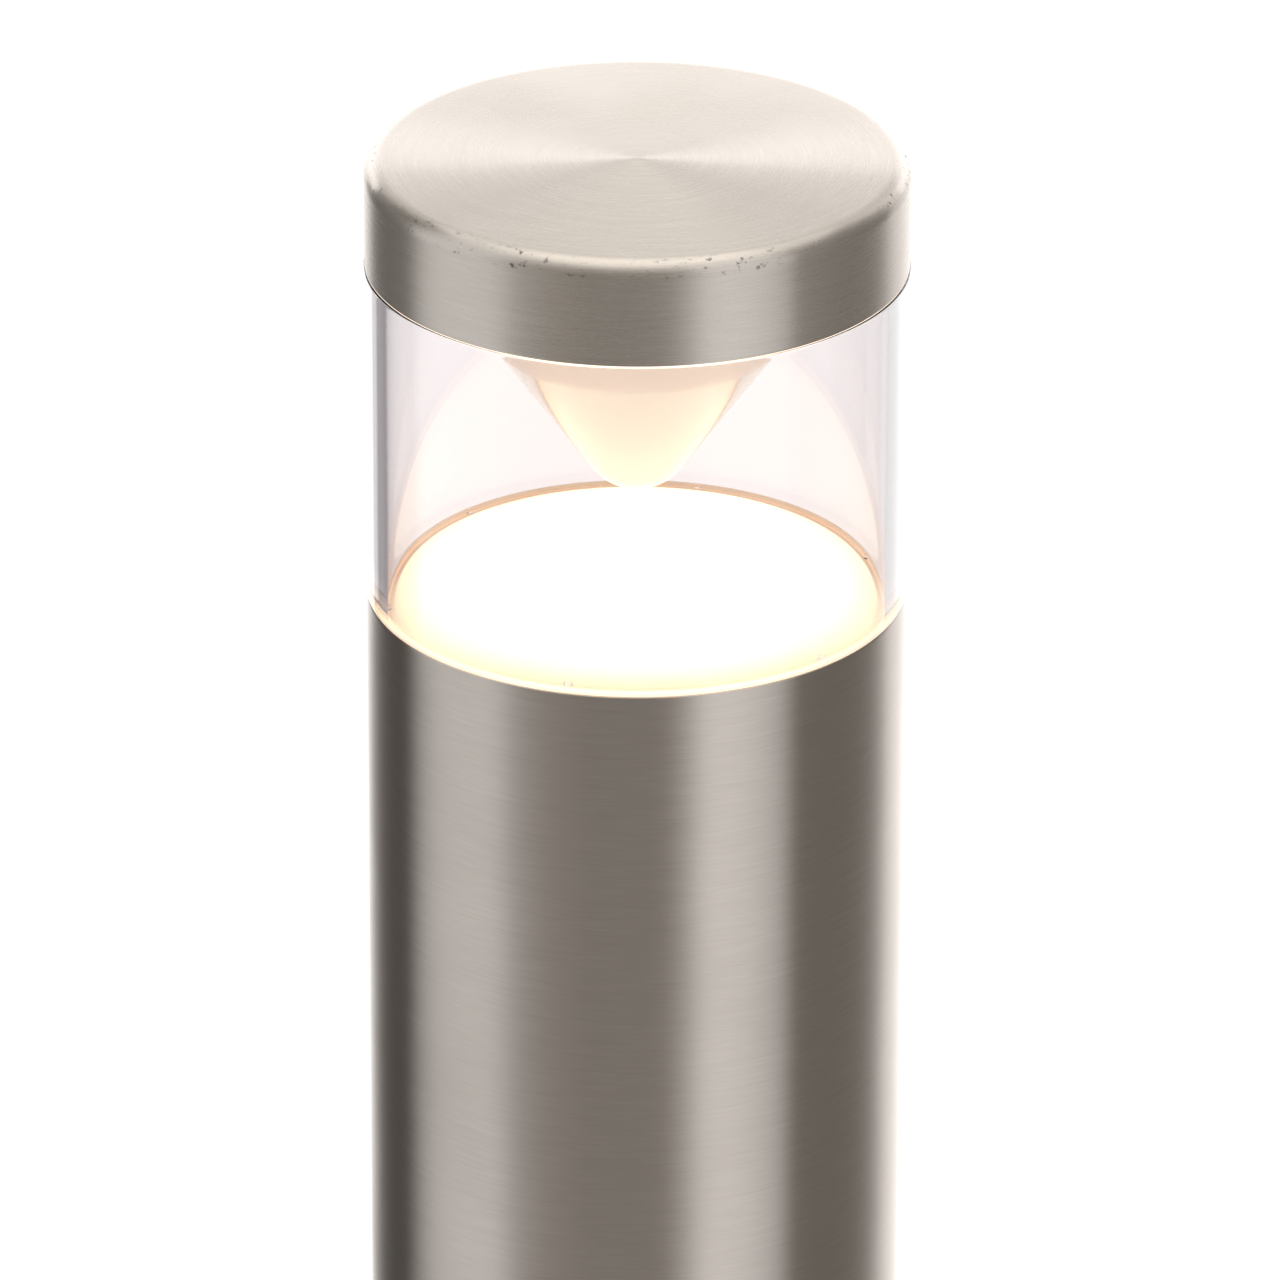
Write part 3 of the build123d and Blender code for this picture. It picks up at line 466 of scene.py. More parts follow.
def edge_marks(g, coords, z, low, high):
    """Mask of small sparse marks, kept between two heights."""
    marks = g.span(g.noise(coords, 950.0, 4.0, 0.7), 0.585, 0.64, 0.0, 0.8)
    patch = g.span(g.noise(coords, 55.0, 2.0, 0.5), 0.47, 0.58, 0.0, 1.0)
    middle = (low + high) / 2
    off = g.math("ABSOLUTE", g.math("SUBTRACT", z, middle))
    zone = g.span(off, (high - low) * 0.35, (high - low) * 0.5, 1.0, 0.0)
    return g.math("MULTIPLY", g.math("MULTIPLY", marks, patch), zone)


def satin_steel(name, colour, rough):
    """Small fasteners and pressed plates: fine uneven grain, faint stains."""
    g = Graph(name)
    coords, _, _, _ = g.place()
    grain = g.noise(coords, 2600.0, 3.0, 0.7)
    stain = g.noise(coords, 130.0, 3.0, 0.6)
    darker = rgb(*(c * 0.78 for c in colour))
    tone = g.blend(g.span(stain, 0.4, 0.75, 0.0, 0.6), rgb(*colour), darker)
    shader = principled(
        g,
        Base_Color=tone,
        Metallic=1.0,
        Roughness=g.span(grain, 0.3, 0.7, rough - 0.06, rough + 0.08),
        Normal=g.bump(grain, 0.01 * MM),
    )
    return g.finish(shader.outputs[0])


def zinc_steel():
    """Zinc-plated sheet with its soft spangle."""
    g = Graph("zinc_steel")
    coords, _, _, _ = g.place()
    cells = g.add("TexVoronoi", Vector=coords, Scale=260.0)
    spangle = g.add("SeparateColor", Color=cells.outputs["Color"]).outputs[0]
    tone = g.blend(spangle, rgb(0.56, 0.58, 0.60), rgb(0.72, 0.74, 0.76))
    rough = g.span(spangle, 0.0, 1.0, 0.28, 0.44)
    shader = principled(g, Base_Color=tone, Metallic=1.0, Roughness=rough)
    return g.finish(shader.outputs[0])


def cast_metal():
    """Die-cast aluminium with a slightly pebbled skin."""
    g = Graph("cast_aluminium")
    coords, _, _, _ = g.place()
    skin = g.noise(coords, 900.0, 4.0, 0.6)
    patch = g.noise(coords, 60.0, 3.0, 0.5)
    tone = g.blend(g.span(patch, 0.35, 0.7, 0.0, 1.0), rgb(0.66, 0.67, 0.68), rgb(0.54, 0.55, 0.57))
    shader = principled(
        g, Base_Color=tone, Metallic=1.0, Roughness=g.span(skin, 0.3, 0.7, 0.36, 0.5),
        Normal=g.bump(skin, 0.03 * MM),
    )
    return g.finish(shader.outputs[0])


def clear_acrylic():
    """Clear moulded tube, faintly pink, with flow lines and dust; its plug-in ends are frosted and carry
    a painted glow, cream in front and tan behind, that stands in for the disc's light in the wall.
    """
    g = Graph("clear_acrylic")
    coords, x, y, z = g.place()
    across_x, across_y = (g.math("MULTIPLY", part, 60.0) for part in (x, y))
    flow = g.noise(g.vector(across_x, across_y, g.math("MULTIPLY", z, 9.0)), 1.0, 2.0, 0.5)
    dust = g.noise(coords, 1500.0, 2.0, 0.6)
    rough = g.span(dust, 0.62, 0.8, 0.0, 0.12)
    clear = principled(
        g,
        Base_Color=rgb(0.972, 0.936, 0.94),
        Roughness=rough,
        IOR=1.49,
        Transmission_Weight=1.0,
        Normal=g.bump(flow, 0.02 * MM, 0.5),
    )
    foot_top = RIM + FROST_MARGIN
    neck_low = CAP_LOW.z - FROST_MARGIN
    foot = g.span(z, foot_top, foot_top + FROST_FADE, 1.0, 0.0)
    neck = g.span(z, neck_low - FROST_FADE, neck_low, 0.0, 1.0)
    speckle = g.noise(coords, 900.0, 3.0, 0.6)
    tone = g.blend(neck, rgb(*FOOT_TINT), rgb(*NECK_TINT))
    tone = g.blend(g.math("MULTIPLY", speckle, 0.3), tone, rgb(0.9, 0.85, 0.8))
    # Painted glow: the frosted ends shine by themselves, cream in front and tan behind, coming up from
    # below the rim
    painted_rise = g.span(z, *FOOT_PAINTED_RISE, 0.1, 1.0)
    strength = g.math("MULTIPLY", painted_rise, g.span(y, -LENS_R, LENS_R, *FOOT_PAINTED_GLOW))
    glow = g.blend(g.span(y, *PAINTED_TAN_FADE, 0.0, 1.0), rgb(1.0, 0.88, 0.70), rgb(1.0, 0.69, 0.42))
    frosted = principled(
        g,
        Base_Color=tone,
        Roughness=0.6,
        IOR=1.49,
        Emission_Color=glow,
        Emission_Strength=strength,
    )
    both = g.add("MixShader", Fac=g.math("MAXIMUM", foot, neck))
    g.feed(both.inputs[1], clear.outputs[0])
    g.feed(both.inputs[2], frosted.outputs[0])
    return g.finish(both.outputs[0])


def opal_disc():
    """Lit opal disc: far past white in the middle, warm cream at its edge, most so in front, with a
    painted tan ring of shade at its back and sides.
    """
    g = Graph("opal_acrylic")
    coords, x, y, _ = g.place()
    back = g.math("SUBTRACT", y, GLOW_SHIFT)
    share = g.math("DIVIDE", g.radius(x, back), DISC_HIGH.x)
    cloud = g.noise(coords, 30.0, 2.0, 0.5)
    edge = g.span(g.math("ADD", share, g.math("MULTIPLY", cloud, 0.06)), 0.78, 1.16, 0.0, 1.0)
    glow = g.blend(edge, rgb(1.0, 0.80, 0.53), rgb(1.0, 0.70, 0.34))
    # Painted shade: the tan ring at the disc's back and sides, with a darker tan base colour and a
    # weaker tan glow
    rim = g.span(g.radius(x, y), *DISC_PAINTED_RIM_BAND, 0.0, 1.0)
    rim = g.math("MULTIPLY", rim, g.span(y, *PAINTED_TAN_FADE, 0.0, 1.0))
    strength = g.span(edge, 0.0, 1.0, DISC_GLOW, DISC_EDGE_GLOW)
    shader = principled(
        g,
        Base_Color=g.blend(rim, rgb(0.84, 0.80, 0.71), rgb(0.74, 0.55, 0.38)),
        Roughness=0.16,
        Emission_Color=g.blend(rim, glow, rgb(1.0, 0.62, 0.34)),
        Emission_Strength=g.span(rim, 0.0, 1.0, strength, DISC_PAINTED_RIM_GLOW),
        Normal=g.bump(g.noise(coords, 700.0, 2.0, 0.5), 0.004 * MM),
    )
    return g.finish(shader.outputs[0])


def glossy_white():
    """Gloss white of the reflector with a faint orange-peel skin, and satin towards its rim."""
    g = Graph("white_gloss")
    coords, _, _, z = g.place()
    peel = g.noise(coords, 420.0, 2.0, 0.5)
    cloud = g.noise(coords, 45.0, 3.0, 0.5)
    tone = g.blend(g.span(cloud, 0.35, 0.7, 0.0, 1.0), rgb(0.87, 0.84, 0.79), rgb(0.83, 0.80, 0.75))
    satin = g.span(z, SATIN_FROM - SATIN_FADE, SATIN_FROM + SATIN_FADE, 0.0, 1.0)
    tone = g.blend(satin, tone, rgb(0.91, 0.83, 0.77))
    shader = principled(
        g,
        Base_Color=tone,
        Roughness=g.span(satin, 0.0, 1.0, 0.16, 0.5),
        IOR=1.5,
        Coat_Weight=g.span(satin, 0.0, 1.0, 0.6, 0.0),
        Coat_Roughness=0.05,
        Normal=g.bump(peel, 0.006 * MM),
    )
    return g.finish(shader.outputs[0])


def moulded(name, colour, rough=0.5, texture=520.0, depth=0.02, wear=0.12):
    """Moulded plastic: fine spark-eroded texture and a slightly uneven tone."""
    g = Graph(name)
    coords, _, _, _ = g.place()
    grain = g.noise(coords, texture, 3.0, 0.6)
    cloud = g.noise(coords, 55.0, 3.0, 0.55)
    other = rgb(*(c * (1 - wear) for c in colour))
    tone = g.blend(g.span(cloud, 0.35, 0.7, 0.0, 1.0), rgb(*colour), other)
    shader = principled(
        g, Base_Color=tone, Roughness=g.span(grain, 0.3, 0.7, rough - 0.06, rough + 0.08),
        Normal=g.bump(grain, depth * MM),
    )
    return g.finish(shader.outputs[0])


def rubber(name, colour, rough=0.7):
    """Rubber: matt, with a dusty bloom and a faint moulded skin."""
    g = Graph(name)
    coords, _, _, _ = g.place()
    skin = g.noise(coords, 1100.0, 3.0, 0.6)
    bloom = g.noise(coords, 80.0, 4.0, 0.6)
    dusty = rgb(*(min(1.0, c * 1.25 + 0.02) for c in colour))
    tone = g.blend(g.span(bloom, 0.45, 0.75, 0.0, 0.7), rgb(*colour), dusty)
    shader = principled(
        g, Base_Color=tone, Roughness=g.span(skin, 0.3, 0.7, rough - 0.08, rough + 0.1),
        Sheen_Weight=0.15, Normal=g.bump(skin, 0.02 * MM),
    )
    return g.finish(shader.outputs[0])


def glowing(name, colour, glow, strength):
    """Phosphor on the LED chips."""
    g = Graph(name)
    coords, _, _, _ = g.place()
    speck = g.noise(coords, 3000.0, 2.0, 0.6)
    tone = g.blend(g.span(speck, 0.3, 0.7, 0.0, 1.0), rgb(*colour), rgb(*(c * 0.85 for c in colour)))
    shader = principled(
        g, Base_Color=tone, Roughness=0.45, Emission_Color=rgb(*glow), Emission_Strength=strength
    )
    return g.finish(shader.outputs[0])


def circuit_board(name, colour, copper):
    """Board lacquer over faint copper areas."""
    g = Graph(name)
    coords, _, _, _ = g.place()
    cells = g.add("TexVoronoi", Vector=coords, Scale=190.0, feature="DISTANCE_TO_EDGE")
    tracks = g.span(cells.outputs["Distance"], 0.05, 0.09, 1.0, 0.0)
    tone = g.blend(g.math("MULTIPLY", tracks, 0.5), rgb(*colour), rgb(*copper))
    shader = principled(
        g, Base_Color=tone, Roughness=0.35, Coat_Weight=0.3, Coat_Roughness=0.2,
        Normal=g.bump(tracks, 0.03 * MM),
    )
    return g.finish(shader.outputs[0])


def yellow_metal():
    """Turned brass."""
    g = Graph("brass")
    coords, _, _, z = g.place()
    rings = g.noise(g.vector(0.0, 0.0, g.math("MULTIPLY", z, 5000.0)), 1.0, 3.0, 0.6)
    stain = g.noise(coords, 160.0, 3.0, 0.6)
    tone = g.blend(g.span(stain, 0.4, 0.75, 0.0, 0.7), rgb(0.83, 0.64, 0.30), rgb(0.62, 0.44, 0.18))
    shader = principled(
        g, Base_Color=tone, Metallic=1.0, Roughness=g.span(rings, 0.3, 0.7, 0.2, 0.36),
        Normal=g.bump(rings, 0.008 * MM),
    )
    return g.finish(shader.outputs[0])


def make_materials():
    """One material for every slot of the record."""
    return {
        "brushed_stainless": brushed_steel(
            "brushed_stainless", 0.30, (0.565, 0.505, 0.455), (0.675, 0.61, 0.555)
        ),
        "stainless_screw": satin_steel("stainless_screw", (0.66, 0.645, 0.62), 0.26),
        "zinc_steel": zinc_steel(),
        "clear_acrylic": clear_acrylic(),
        "opal_acrylic": opal_disc(),
        "white_gloss": glossy_white(),
        "white_tray": moulded("white_tray", (0.88, 0.80, 0.68), 0.35, 700.0, 0.006, 0.06),
        "grey_silicone": rubber("grey_silicone", (0.56, 0.52, 0.51), 0.55),
        "black_epdm": rubber("black_epdm", (0.035, 0.035, 0.037)),
        "grey_adhesive": rubber("grey_adhesive", (0.40, 0.41, 0.42), 0.6),
        "cast_aluminium": cast_metal(),
        "board_white": circuit_board("board_white", (0.88, 0.89, 0.88), (0.78, 0.80, 0.78)),
        "led_phosphor": glowing("led_phosphor", (0.93, 0.74, 0.22), (1.0, 0.82, 0.5), 4.0),
        "white_nylon": moulded("white_nylon", (0.80, 0.79, 0.74), 0.42),
        "black_nylon": moulded("black_nylon", (0.035, 0.035, 0.038), 0.45),
        "driver_case": moulded("driver_case", (0.72, 0.73, 0.73), 0.5, 380.0, 0.05),
        "board_green": circuit_board("board_green", (0.03, 0.17, 0.08), (0.06, 0.28, 0.13)),
        "component_black": moulded("component_black", (0.05, 0.05, 0.06), 0.4),
        "brass": yellow_metal(),
        "tin_copper": satin_steel("tin_copper", (0.74, 0.72, 0.68), 0.22),
        "sleeve_brown": moulded("sleeve_brown", (0.14, 0.055, 0.022), 0.4),
        "sleeve_blue": moulded("sleeve_blue", (0.02, 0.09, 0.36), 0.4),
        "sleeve_green": moulded("sleeve_green", (0.05, 0.26, 0.05), 0.4),
        "sleeve_black": moulded("sleeve_black", (0.02, 0.02, 0.023), 0.45),
        "sleeve_white": moulded("sleeve_white", (0.78, 0.77, 0.74), 0.4),
    }


# ---------------------------------------------------------------- the pieces in view
def cap_shell():
    """Drawn cap: flat top, rounded shoulder, thin wall."""
    low, top = CAP_LOW.z, CAP_HIGH.z
    inner = CAP_R - CAP_WALL
    outline = [(0.0, top)]
    outline += arc(CAP_R - CAP_ROUND, top - CAP_ROUND, CAP_ROUND, 90, 0, 14)
    outline += arc(CAP_R - EDGE, low + EDGE, EDGE, 0, -90, 4)
    outline += arc(inner + EDGE, low + EDGE, EDGE, -90, -180, 4)
    bend = CAP_ROUND - CAP_WALL
    outline += arc(inner - bend, top - CAP_WALL - bend, bend, 0, 90, 8)
    outline += [(0.0, top - CAP_WALL)]
    return finish_mesh("cap_shell", spin(support(outline)), "head", ["top_cap"], "brushed_stainless")


def lens_shell():
    """Clear tube with a plug-in foot, a plug-in neck and an inner web under the cap."""
    foot_r = POST_R - POST_WALL - LENS_FOOT_GAP
    neck_r = CAP_R - CAP_WALL - LENS_FOOT_GAP
    inner = LENS_R - LENS_WALL
    low, top = LENS_LOW.z, LENS_HIGH.z
    shoulder = RIM + LENS_SEAM
    upper = CAP_LOW.z - LENS_SEAM
    corners = [
        (foot_r, low),
        (foot_r, shoulder),
        (LENS_R, shoulder),
        (LENS_R, upper),
        (neck_r, upper),
        (neck_r, top),
        (LENS_WEB_HOLE, top),
        (LENS_WEB_HOLE, top - LENS_WEB),
        (inner, top - LENS_WEB),
        (inner, low),
    ]
    outline = soften(corners, LENS_EDGE, 5)
    piece = finish_mesh("lens_shell", spin(support(outline)), "head", ["lens_tube"], "clear_acrylic")
    lugs = [on_circle(hole, a, inner, LUG_LOW, LUG_HIGH, LUG_R, 24) for a in LUG_ANGLES]
    combine(piece, lugs, "UNION")
    holes = [
        on_circle(hole, a, HEAD_SCREW_CIRCLE, top - LENS_WEB - MM, top + MM, HEAD_SCREW_HOLE, 32)
        for a in HEAD_SCREW_ANGLES
    ]
    combine(piece, holes)
    return piece


def cone_shell():
    """Reflector: a thin cone, point down, with a round tip and a short upright rim."""
    half = math.atan(CONE_SLOPE)
    outer_r = CONE_HIGH.x
    top = CONE_HIGH.z
    tip_centre = CONE_LOW.z + CONE_TIP
    bend = math.degrees(half)
    apex = tip_centre - CONE_TIP / math.sin(half)
    rim = apex + outer_r / CONE_SLOPE
    inner_apex = apex + CONE_WALL / math.sin(half)
    inner_r = outer_r - CONE_WALL
    outline = arc(0.0, tip_centre, CONE_TIP, -90, -bend, 12)
    outline[0] = (0.0, CONE_LOW.z)
    outline += soften_run((outer_r, rim), (outer_r, top), outline[-1])
    outline += [(inner_r, top), (inner_r, inner_apex + inner_r / CONE_SLOPE)]
    outline += list(reversed(arc(0.0, tip_centre, CONE_TIP - CONE_WALL, -90, -bend, 8)))
    outline[-1] = (0.0, tip_centre - CONE_TIP + CONE_WALL)
    piece = finish_mesh(
        "cone_shell", spin(support(outline, 0.6 * MM)), "head", ["reflector_cone"], "white_gloss"
    )
    boss_low = apex + (HEAD_SCREW_CIRCLE + CONE_BOSS) / CONE_SLOPE
    bosses = [
        on_circle(hole, a, HEAD_SCREW_CIRCLE, boss_low, top, CONE_BOSS, 32) for a in HEAD_SCREW_ANGLES
    ]
    combine(piece, bosses, "UNION")
    threads = [
        on_circle(hole, a, HEAD_SCREW_CIRCLE, boss_low - MM, top + MM, HEAD_SCREW_HOLE, 24)
        for a in HEAD_SCREW_ANGLES
    ]
    combine(piece, threads)
    return piece


def soften_run(corner, after, before):
    """A small round where the cone turns up into its rim."""
    spot, a, b = Vector(corner), Vector(before), Vector(after)
    size = 0.6 * MM
    first = spot + (a - spot).normalized() * size
    last = spot + (b - spot).normalized() * size
    return [tuple(first), tuple(spot * 0.5 + (first + last) * 0.25), tuple(last), tuple(b)]


def tray_shell():
    """LED tray: white cup whose mouth takes the rim of the disc."""
    outer = TRAY_HIGH.x
    low, top = TRAY_LOW.z, TRAY_HIGH.z
    groove_in = outer - (GRIP_HIGH.x - outer) - TRAY_GROOVE
    corners = [
        (TRAY_IN, low),
        (outer, low),
        (outer, GRIP_LOW.z),
        (groove_in, GRIP_LOW.z),
        (groove_in, GRIP_HIGH.z),
        (outer, GRIP_HIGH.z),
        (outer, top),
        (TRAY_MOUTH, top),
        (TRAY_MOUTH, top - TRAY_MOUTH_H),
        (TRAY_IN, low + TRAY_FLOOR),
    ]
    outline = support(soften(corners, TRAY_EDGE, 3), 0.2 * MM)
    piece = finish_mesh("tray_shell", spin(outline), "post", ["led_tray"], "white_tray")
    over = top + MM
    for bottom, size in ((low - MM, SOURCE_SCREW_HOLE), (low + TRAY_BOSS, SOURCE_HEAD_HOLE)):
        wells = [
            on_circle(hole, a, SOURCE_SCREW_CIRCLE, bottom, over, size, 32) for a in SOURCE_SCREW_ANGLES
        ]
        combine(piece, wells)
    return piece


def glow_disc():
    """Opal disc with a soft edge and a rim below that plugs into the tray."""
    low, top = DISC_LOW.z, DISC_HIGH.z
    under = top - DISC_T
    rim = TRAY_MOUTH - DISC_RIM_ROOM
    corners = [
        (0.0, under),
        (rim - DISC_RIM_T, under),
        (rim - DISC_RIM_T, low),
        (rim, low),
        (rim, under),
        (DISC_HIGH.x, under),
        (DISC_HIGH.x, top),
        (0.0, top),
    ]
    outline = support(soften(corners, DISC_EDGE, 5))
    return finish_mesh("glow_disc", spin(outline), "post", ["diffuser_disc"], "opal_acrylic")


def post_shell():
    """Post tube with a softened rim and three clamp-screw holes near its foot."""
    inner = POST_R - POST_WALL
    low, top = POST_LOW.z, RIM
    screw_z = (SCREW_LOW.z + SCREW_HIGH.z) / 2
    over, under = screw_z + CLAMP_BAND, screw_z - CLAMP_BAND
    outline = arc(POST_R - POST_EDGE, top - POST_EDGE, POST_EDGE, 90, 0, 6)
    outline += [(POST_R, over), (POST_R, under)]
    outline += [(POST_R, low + POST_EDGE), (POST_R - POST_EDGE, low), (inner, low)]
    outline += [(inner, under), (inner, over)]
    outline += arc(inner + EDGE, top - EDGE, EDGE, 180, 90, 4)
    piece = finish_mesh("post_shell", spin(support(outline)), "post", ["post_tube"], "brushed_stainless")
    combine(piece, [side_hole(a, POST_R, screw_z, CLAMP_HOLE, CLAMP_CUT) for a in CLAMP_ANGLES])
    return piece


def foot_plate():
    """Round flange with broken edges, four anchor holes and the cable hole."""
    low, top = PLATE_LOW.z, PLATE_HIGH.z
    corners = [(CABLE_HOLE, low), (PLATE_HIGH.x, low), (PLATE_HIGH.x, top), (CABLE_HOLE, top)]
    outline = support(soften(corners, PLATE_EDGE, 5))
    piece = finish_mesh("foot_plate", spin(outline), "base", ["base_flange"], "brushed_stainless")
    combine(piece, bolt_holes(low, top))
    combine(piece, [hole(x, y, low - MM, top + MM, FOOT_SCREW_HOLE, 32) for x, y in FOOT_SCREWS])
    return piece


def bolt_holes(low, top):
    """The four anchor holes, for combine()."""
    return [on_circle(hole, a, BOLT_CIRCLE, low - MM, top + MM, BOLT_HOLE) for a in BOLT_ANGLES]


def ground_mat():
    """Rubber gasket under the flange, with the same four holes."""
    low, top = MAT_LOW.z, MAT_HIGH.z
    corners = [(MAT_HOLE, low), (MAT_HIGH.x, low), (MAT_HIGH.x, top), (MAT_HOLE, top)]
    outline = support(soften(corners, MAT_EDGE, 4))
    piece = finish_mesh("ground_mat", spin(outline), "base", ["base_gasket"], "black_epdm")
    combine(piece, bolt_holes(low, top))
    return piece


# ---------------------------------------------------------------- put the object together
MATERIALS = make_materials()
PIECES = [
    cap_shell(),
    lens_shell(),
    cone_shell(),
    tray_shell(),
    glow_disc(),
    post_shell(),
    foot_plate(),
    ground_mat(),
]
# Painted light: the cap's steel is a lighter copy of the post's steel, standing in for the extra light
# the cap catches
CAP_STEEL_PAINTED_LIGHTER = brushed_steel(
    "brushed_stainless_cap_painted_lighter", 0.25, (0.63, 0.57, 0.51), (0.735, 0.67, 0.61), CAP_LEAN,
    (CAP_HIGH.z - CAP_ROUND, CAP_HIGH.z), CAP_HAZE, CAP_GRAIN,
)
for piece in PIECES:
    piece.data.materials.clear()
    piece.data.materials.append(MATERIALS[piece["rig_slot"]])
PIECES[0].data.materials[0] = CAP_STEEL_PAINTED_LIGHTER

SLOT_OF = {part["node"]: part["material_slot"] for part in frame["record"]["subparts"]}
for name, node in frame["nodes"].items():
    for index in range(len(node.material_slots)):
        node.material_slots[index].material = MATERIALS[SLOT_OF[name]]


# ---------------------------------------------------------------- floor, light and camera
FLOOR_SIZE = 14.0
VIEW_PITCH = 24.728  # degrees the camera looks down
VIEW_ROLL = 0.19
VIEW_LENS = 306.3
VIEW_DISTANCE = 1.5414
VIEW_X = 0.55 * MM
VIEW_Z = RIM - 8.75 * MM
TENT_RADIUS = 0.55
TENT_LOW = -0.7
TENT_TOP = 1.0
SHADE_FROM = (0.60, 0.66)  # heights over which the wall behind the lamp turns darker
SHADE_GLOW = 0.7
SHADE_ANGLES = (130, 145)  # degrees from the front over which that shade comes in
NEAR_CARD = (0.15, 0.125, CAP_HIGH.z, CAP_HIGH.z + 0.056)  # half width, distance, low edge, top edge
NEAR_GLOW = 2.15
NEAR_FADE = 0.03  # height over which the card dims towards its top
CEILING_R = 0.4
CEILING_GLOW = 1.7
WORLD_GLOW = 1.12
COOL = (1.0, 1.02, 1.04)
WARM = (1.0, 0.96, 0.89)
PLAIN = (1.0, 1.0, 1.0)
PINK = (1.0, 0.95, 0.97)
MAUVE = (1.0, 0.95, 0.99)
# what the steel mirrors, all round: degrees from the front towards +X, glow, tint
STEEL_CARDS = [
    (-180, 1.9, PLAIN), (-160, 1.7, PLAIN), (-147, 1.3, PLAIN), (-145, 0.11, WARM), (-107, 0.11, WARM),
    (-98, 0.78, COOL), (-88, 0.87, COOL), (-62, 0.83, COOL), (-55, 0.62, COOL), (-50, 0.42, PLAIN),
    (-38, 0.33, WARM), (-20, 0.25, WARM), (8, 0.245, WARM), (14, 0.29, WARM), (21, 0.50, PLAIN),
    (29, 0.93, COOL), (36, 1.0, COOL), (47, 0.95, COOL), (57, 0.86, COOL), (63, 0.76, COOL),
    (68, 0.23, WARM), (121, 0.20, WARM), (125, 0.8, PLAIN), (140, 1.25, PLAIN), (160, 1.8, PLAIN),
    (180, 1.9, PLAIN),
]
# what the clear tube shows, all round
GLASS_CARDS = [
    (-180, 1.02, PLAIN), (-150, 1.02, PLAIN), (-146, 0.34, PINK), (-112, 0.6, MAUVE), (-106, 1.0, PLAIN),
    (112, 1.0, PLAIN), (120, 0.8, PLAIN), (146, 0.8, PLAIN), (152, 1.02, PLAIN), (180, 1.02, PLAIN),
]


def floor():
    """Plain pale floor, left out of the steel's reflections."""
    bpy.ops.mesh.primitive_plane_add(size=FLOOR_SIZE, location=(0, 0, 0))
    piece = bpy.context.object
    piece.name = "floor"
    g = Graph("floor_paint")
    coords, _, _, _ = g.place()
    cloud = g.noise(coords, 2.0, 2.0, 0.5)
    tone = g.blend(cloud, rgb(0.90, 0.90, 0.90), rgb(0.92, 0.92, 0.92))
    piece.data.materials.append(g.finish(principled(g, Base_Color=tone, Roughness=0.9).outputs[0]))
    piece.visible_glossy = False


def ring_wall(name, columns=360):
    """Wall all round the object."""
    bm = bmesh.new()
    posts = []
    for k in range(columns + 1):
        a = math.radians(-180 + 360 * k / columns)
        x, y = TENT_RADIUS * math.sin(a), -TENT_RADIUS * math.cos(a)
        posts.append((bm.verts.new((x, y, TENT_LOW)), bm.verts.new((x, y, TENT_TOP))))
    for here, there in zip(posts, posts[1:]):
        bm.faces.new([here[0], there[0], there[1], here[1]])
    return mesh_object(name, bm)


def light_up(card, g, colour, strength, glossy, transmission):
    """Makes a studio card glow, seen by nothing but reflections or refractions."""
    glow = g.add("Emission", Color=colour, Strength=strength)
    card.data.materials.append(g.finish(glow.outputs[0]))
    card.visible_camera = False
    card.visible_diffuse = False
    card.visible_shadow = False
    card.visible_volume_scatter = False
    card.visible_glossy = glossy
    card.visible_transmission = transmission


def tent(name, cards, glossy, transmission):
    """Ring of upright studio cards that only reflections or refractions see."""
    wall = ring_wall(name)
    g = Graph(name)
    _, x, y, z = g.place()
    angle = g.math("ARCTAN2", x, g.math("MULTIPLY", y, -1.0))
    ramp = g.add("ValToRGB", Fac=g.math("ADD", g.math("DIVIDE", angle, TURN), 0.5))
    stops = ramp.color_ramp.elements
    stops.remove(stops[-1])
    for index, (degrees, glow, tint) in enumerate(cards):
        stop = stops.new((degrees + 180) / 360) if index else stops[0]
        stop.color = rgb(*(glow * part for part in tint))
    colour = ramp.outputs[0]
    if glossy:
        behind = g.span(g.math("ABSOLUTE", angle), *map(math.radians, SHADE_ANGLES), 0.0, 1.0)
        high = g.math("MULTIPLY", g.span(z, *SHADE_FROM, 0.0, 1.0), behind)
        colour = g.blend(high, colour, rgb(SHADE_GLOW, SHADE_GLOW, SHADE_GLOW * 0.96))
    light_up(wall, g, colour, 1.0, glossy, transmission)


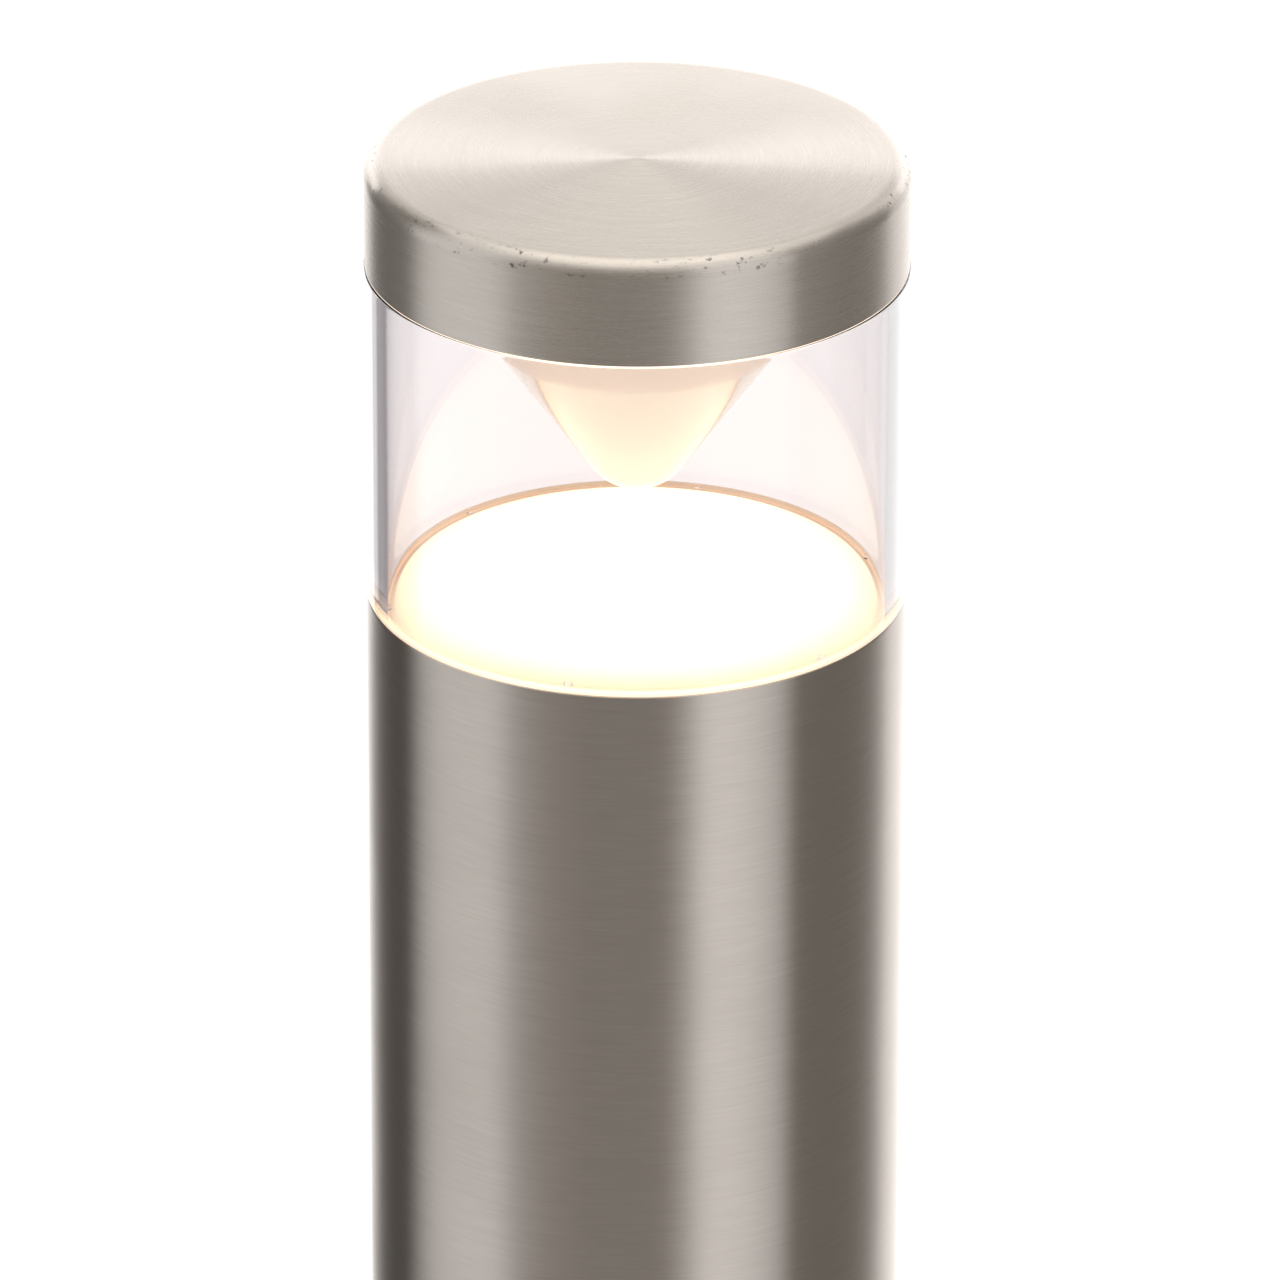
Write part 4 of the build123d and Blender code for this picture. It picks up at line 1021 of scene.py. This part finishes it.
def near_card():
    """White card standing close behind the lamp, for the cap's flat top."""
    bm = bmesh.new()
    wide, deep, low, high = NEAR_CARD
    corners = [(-wide, deep, low), (wide, deep, low), (wide, deep, high), (-wide, deep, high)]
    bm.faces.new([bm.verts.new(corner) for corner in corners])
    card = mesh_object("near_card", bm)
    g = Graph("near_card")
    _, _, _, z = g.place()
    strength = g.span(z, high - NEAR_FADE, high, NEAR_GLOW, NEAR_GLOW * 0.6)
    light_up(card, g, rgb(1.0, 1.0, 1.02), strength, True, False)


def ceiling():
    """Round white card overhead, for the cap's rounded edge."""
    bm = bmesh.new()
    bmesh.ops.create_circle(bm, cap_ends=True, segments=96, radius=CEILING_R)
    card = mesh_object("ceiling", bm)
    card.location = (0.0, 0.0, TENT_TOP)
    g = Graph("ceiling")
    _, x, y, _ = g.place()
    strength = g.span(g.radius(x, y), CEILING_R * 0.5, CEILING_R, CEILING_GLOW, CEILING_GLOW * 0.5)
    light_up(card, g, rgb(1.0, 0.99, 0.95), strength, True, False)


def world():
    """Even white surroundings."""
    sky = bpy.data.worlds.new("studio")
    bpy.context.scene.world = sky
    sky.use_nodes = True
    background = sky.node_tree.nodes["Background"]
    background.inputs["Color"].default_value = rgb(1.0, 1.0, 1.0)
    background.inputs["Strength"].default_value = WORLD_GLOW


def key_light():
    """Large soft light, high on the left, that steel does not mirror."""
    data = bpy.data.lights.new("key", "AREA")
    data.shape = "DISK"
    data.size = 1.6
    data.energy = 6.0
    light = new_object("key", data)
    light.location = (-1.5, -1.2, 2.2)
    light.rotation_euler = (Vector((0, 0, 0.3)) - light.location).to_track_quat("-Z", "Y").to_euler()
    light.visible_glossy = False
    light.visible_transmission = False


def camera():
    """Long lens above the lamp, looking down at its head."""
    data = bpy.data.cameras.new("camera")
    data.sensor_width = 36.0
    data.lens = VIEW_LENS
    data.clip_end = 30.0
    view = new_object("camera", data)
    target = Vector((VIEW_X, 0.0, VIEW_Z))
    pitch = math.radians(VIEW_PITCH)
    view.location = target + Vector((0.0, -math.cos(pitch), math.sin(pitch))) * VIEW_DISTANCE
    aim = (target - view.location).to_track_quat("-Z", "Y").to_matrix()
    view.rotation_euler = (aim @ turn_matrix("Z", VIEW_ROLL)).to_euler()
    bpy.context.scene.camera = view


floor()
tent("steel_cards", STEEL_CARDS, True, False)
tent("glass_cards", GLASS_CARDS, False, True)
near_card()
ceiling()
world()
key_light()
camera()
bpy.context.scene.view_settings.view_transform = "Standard"
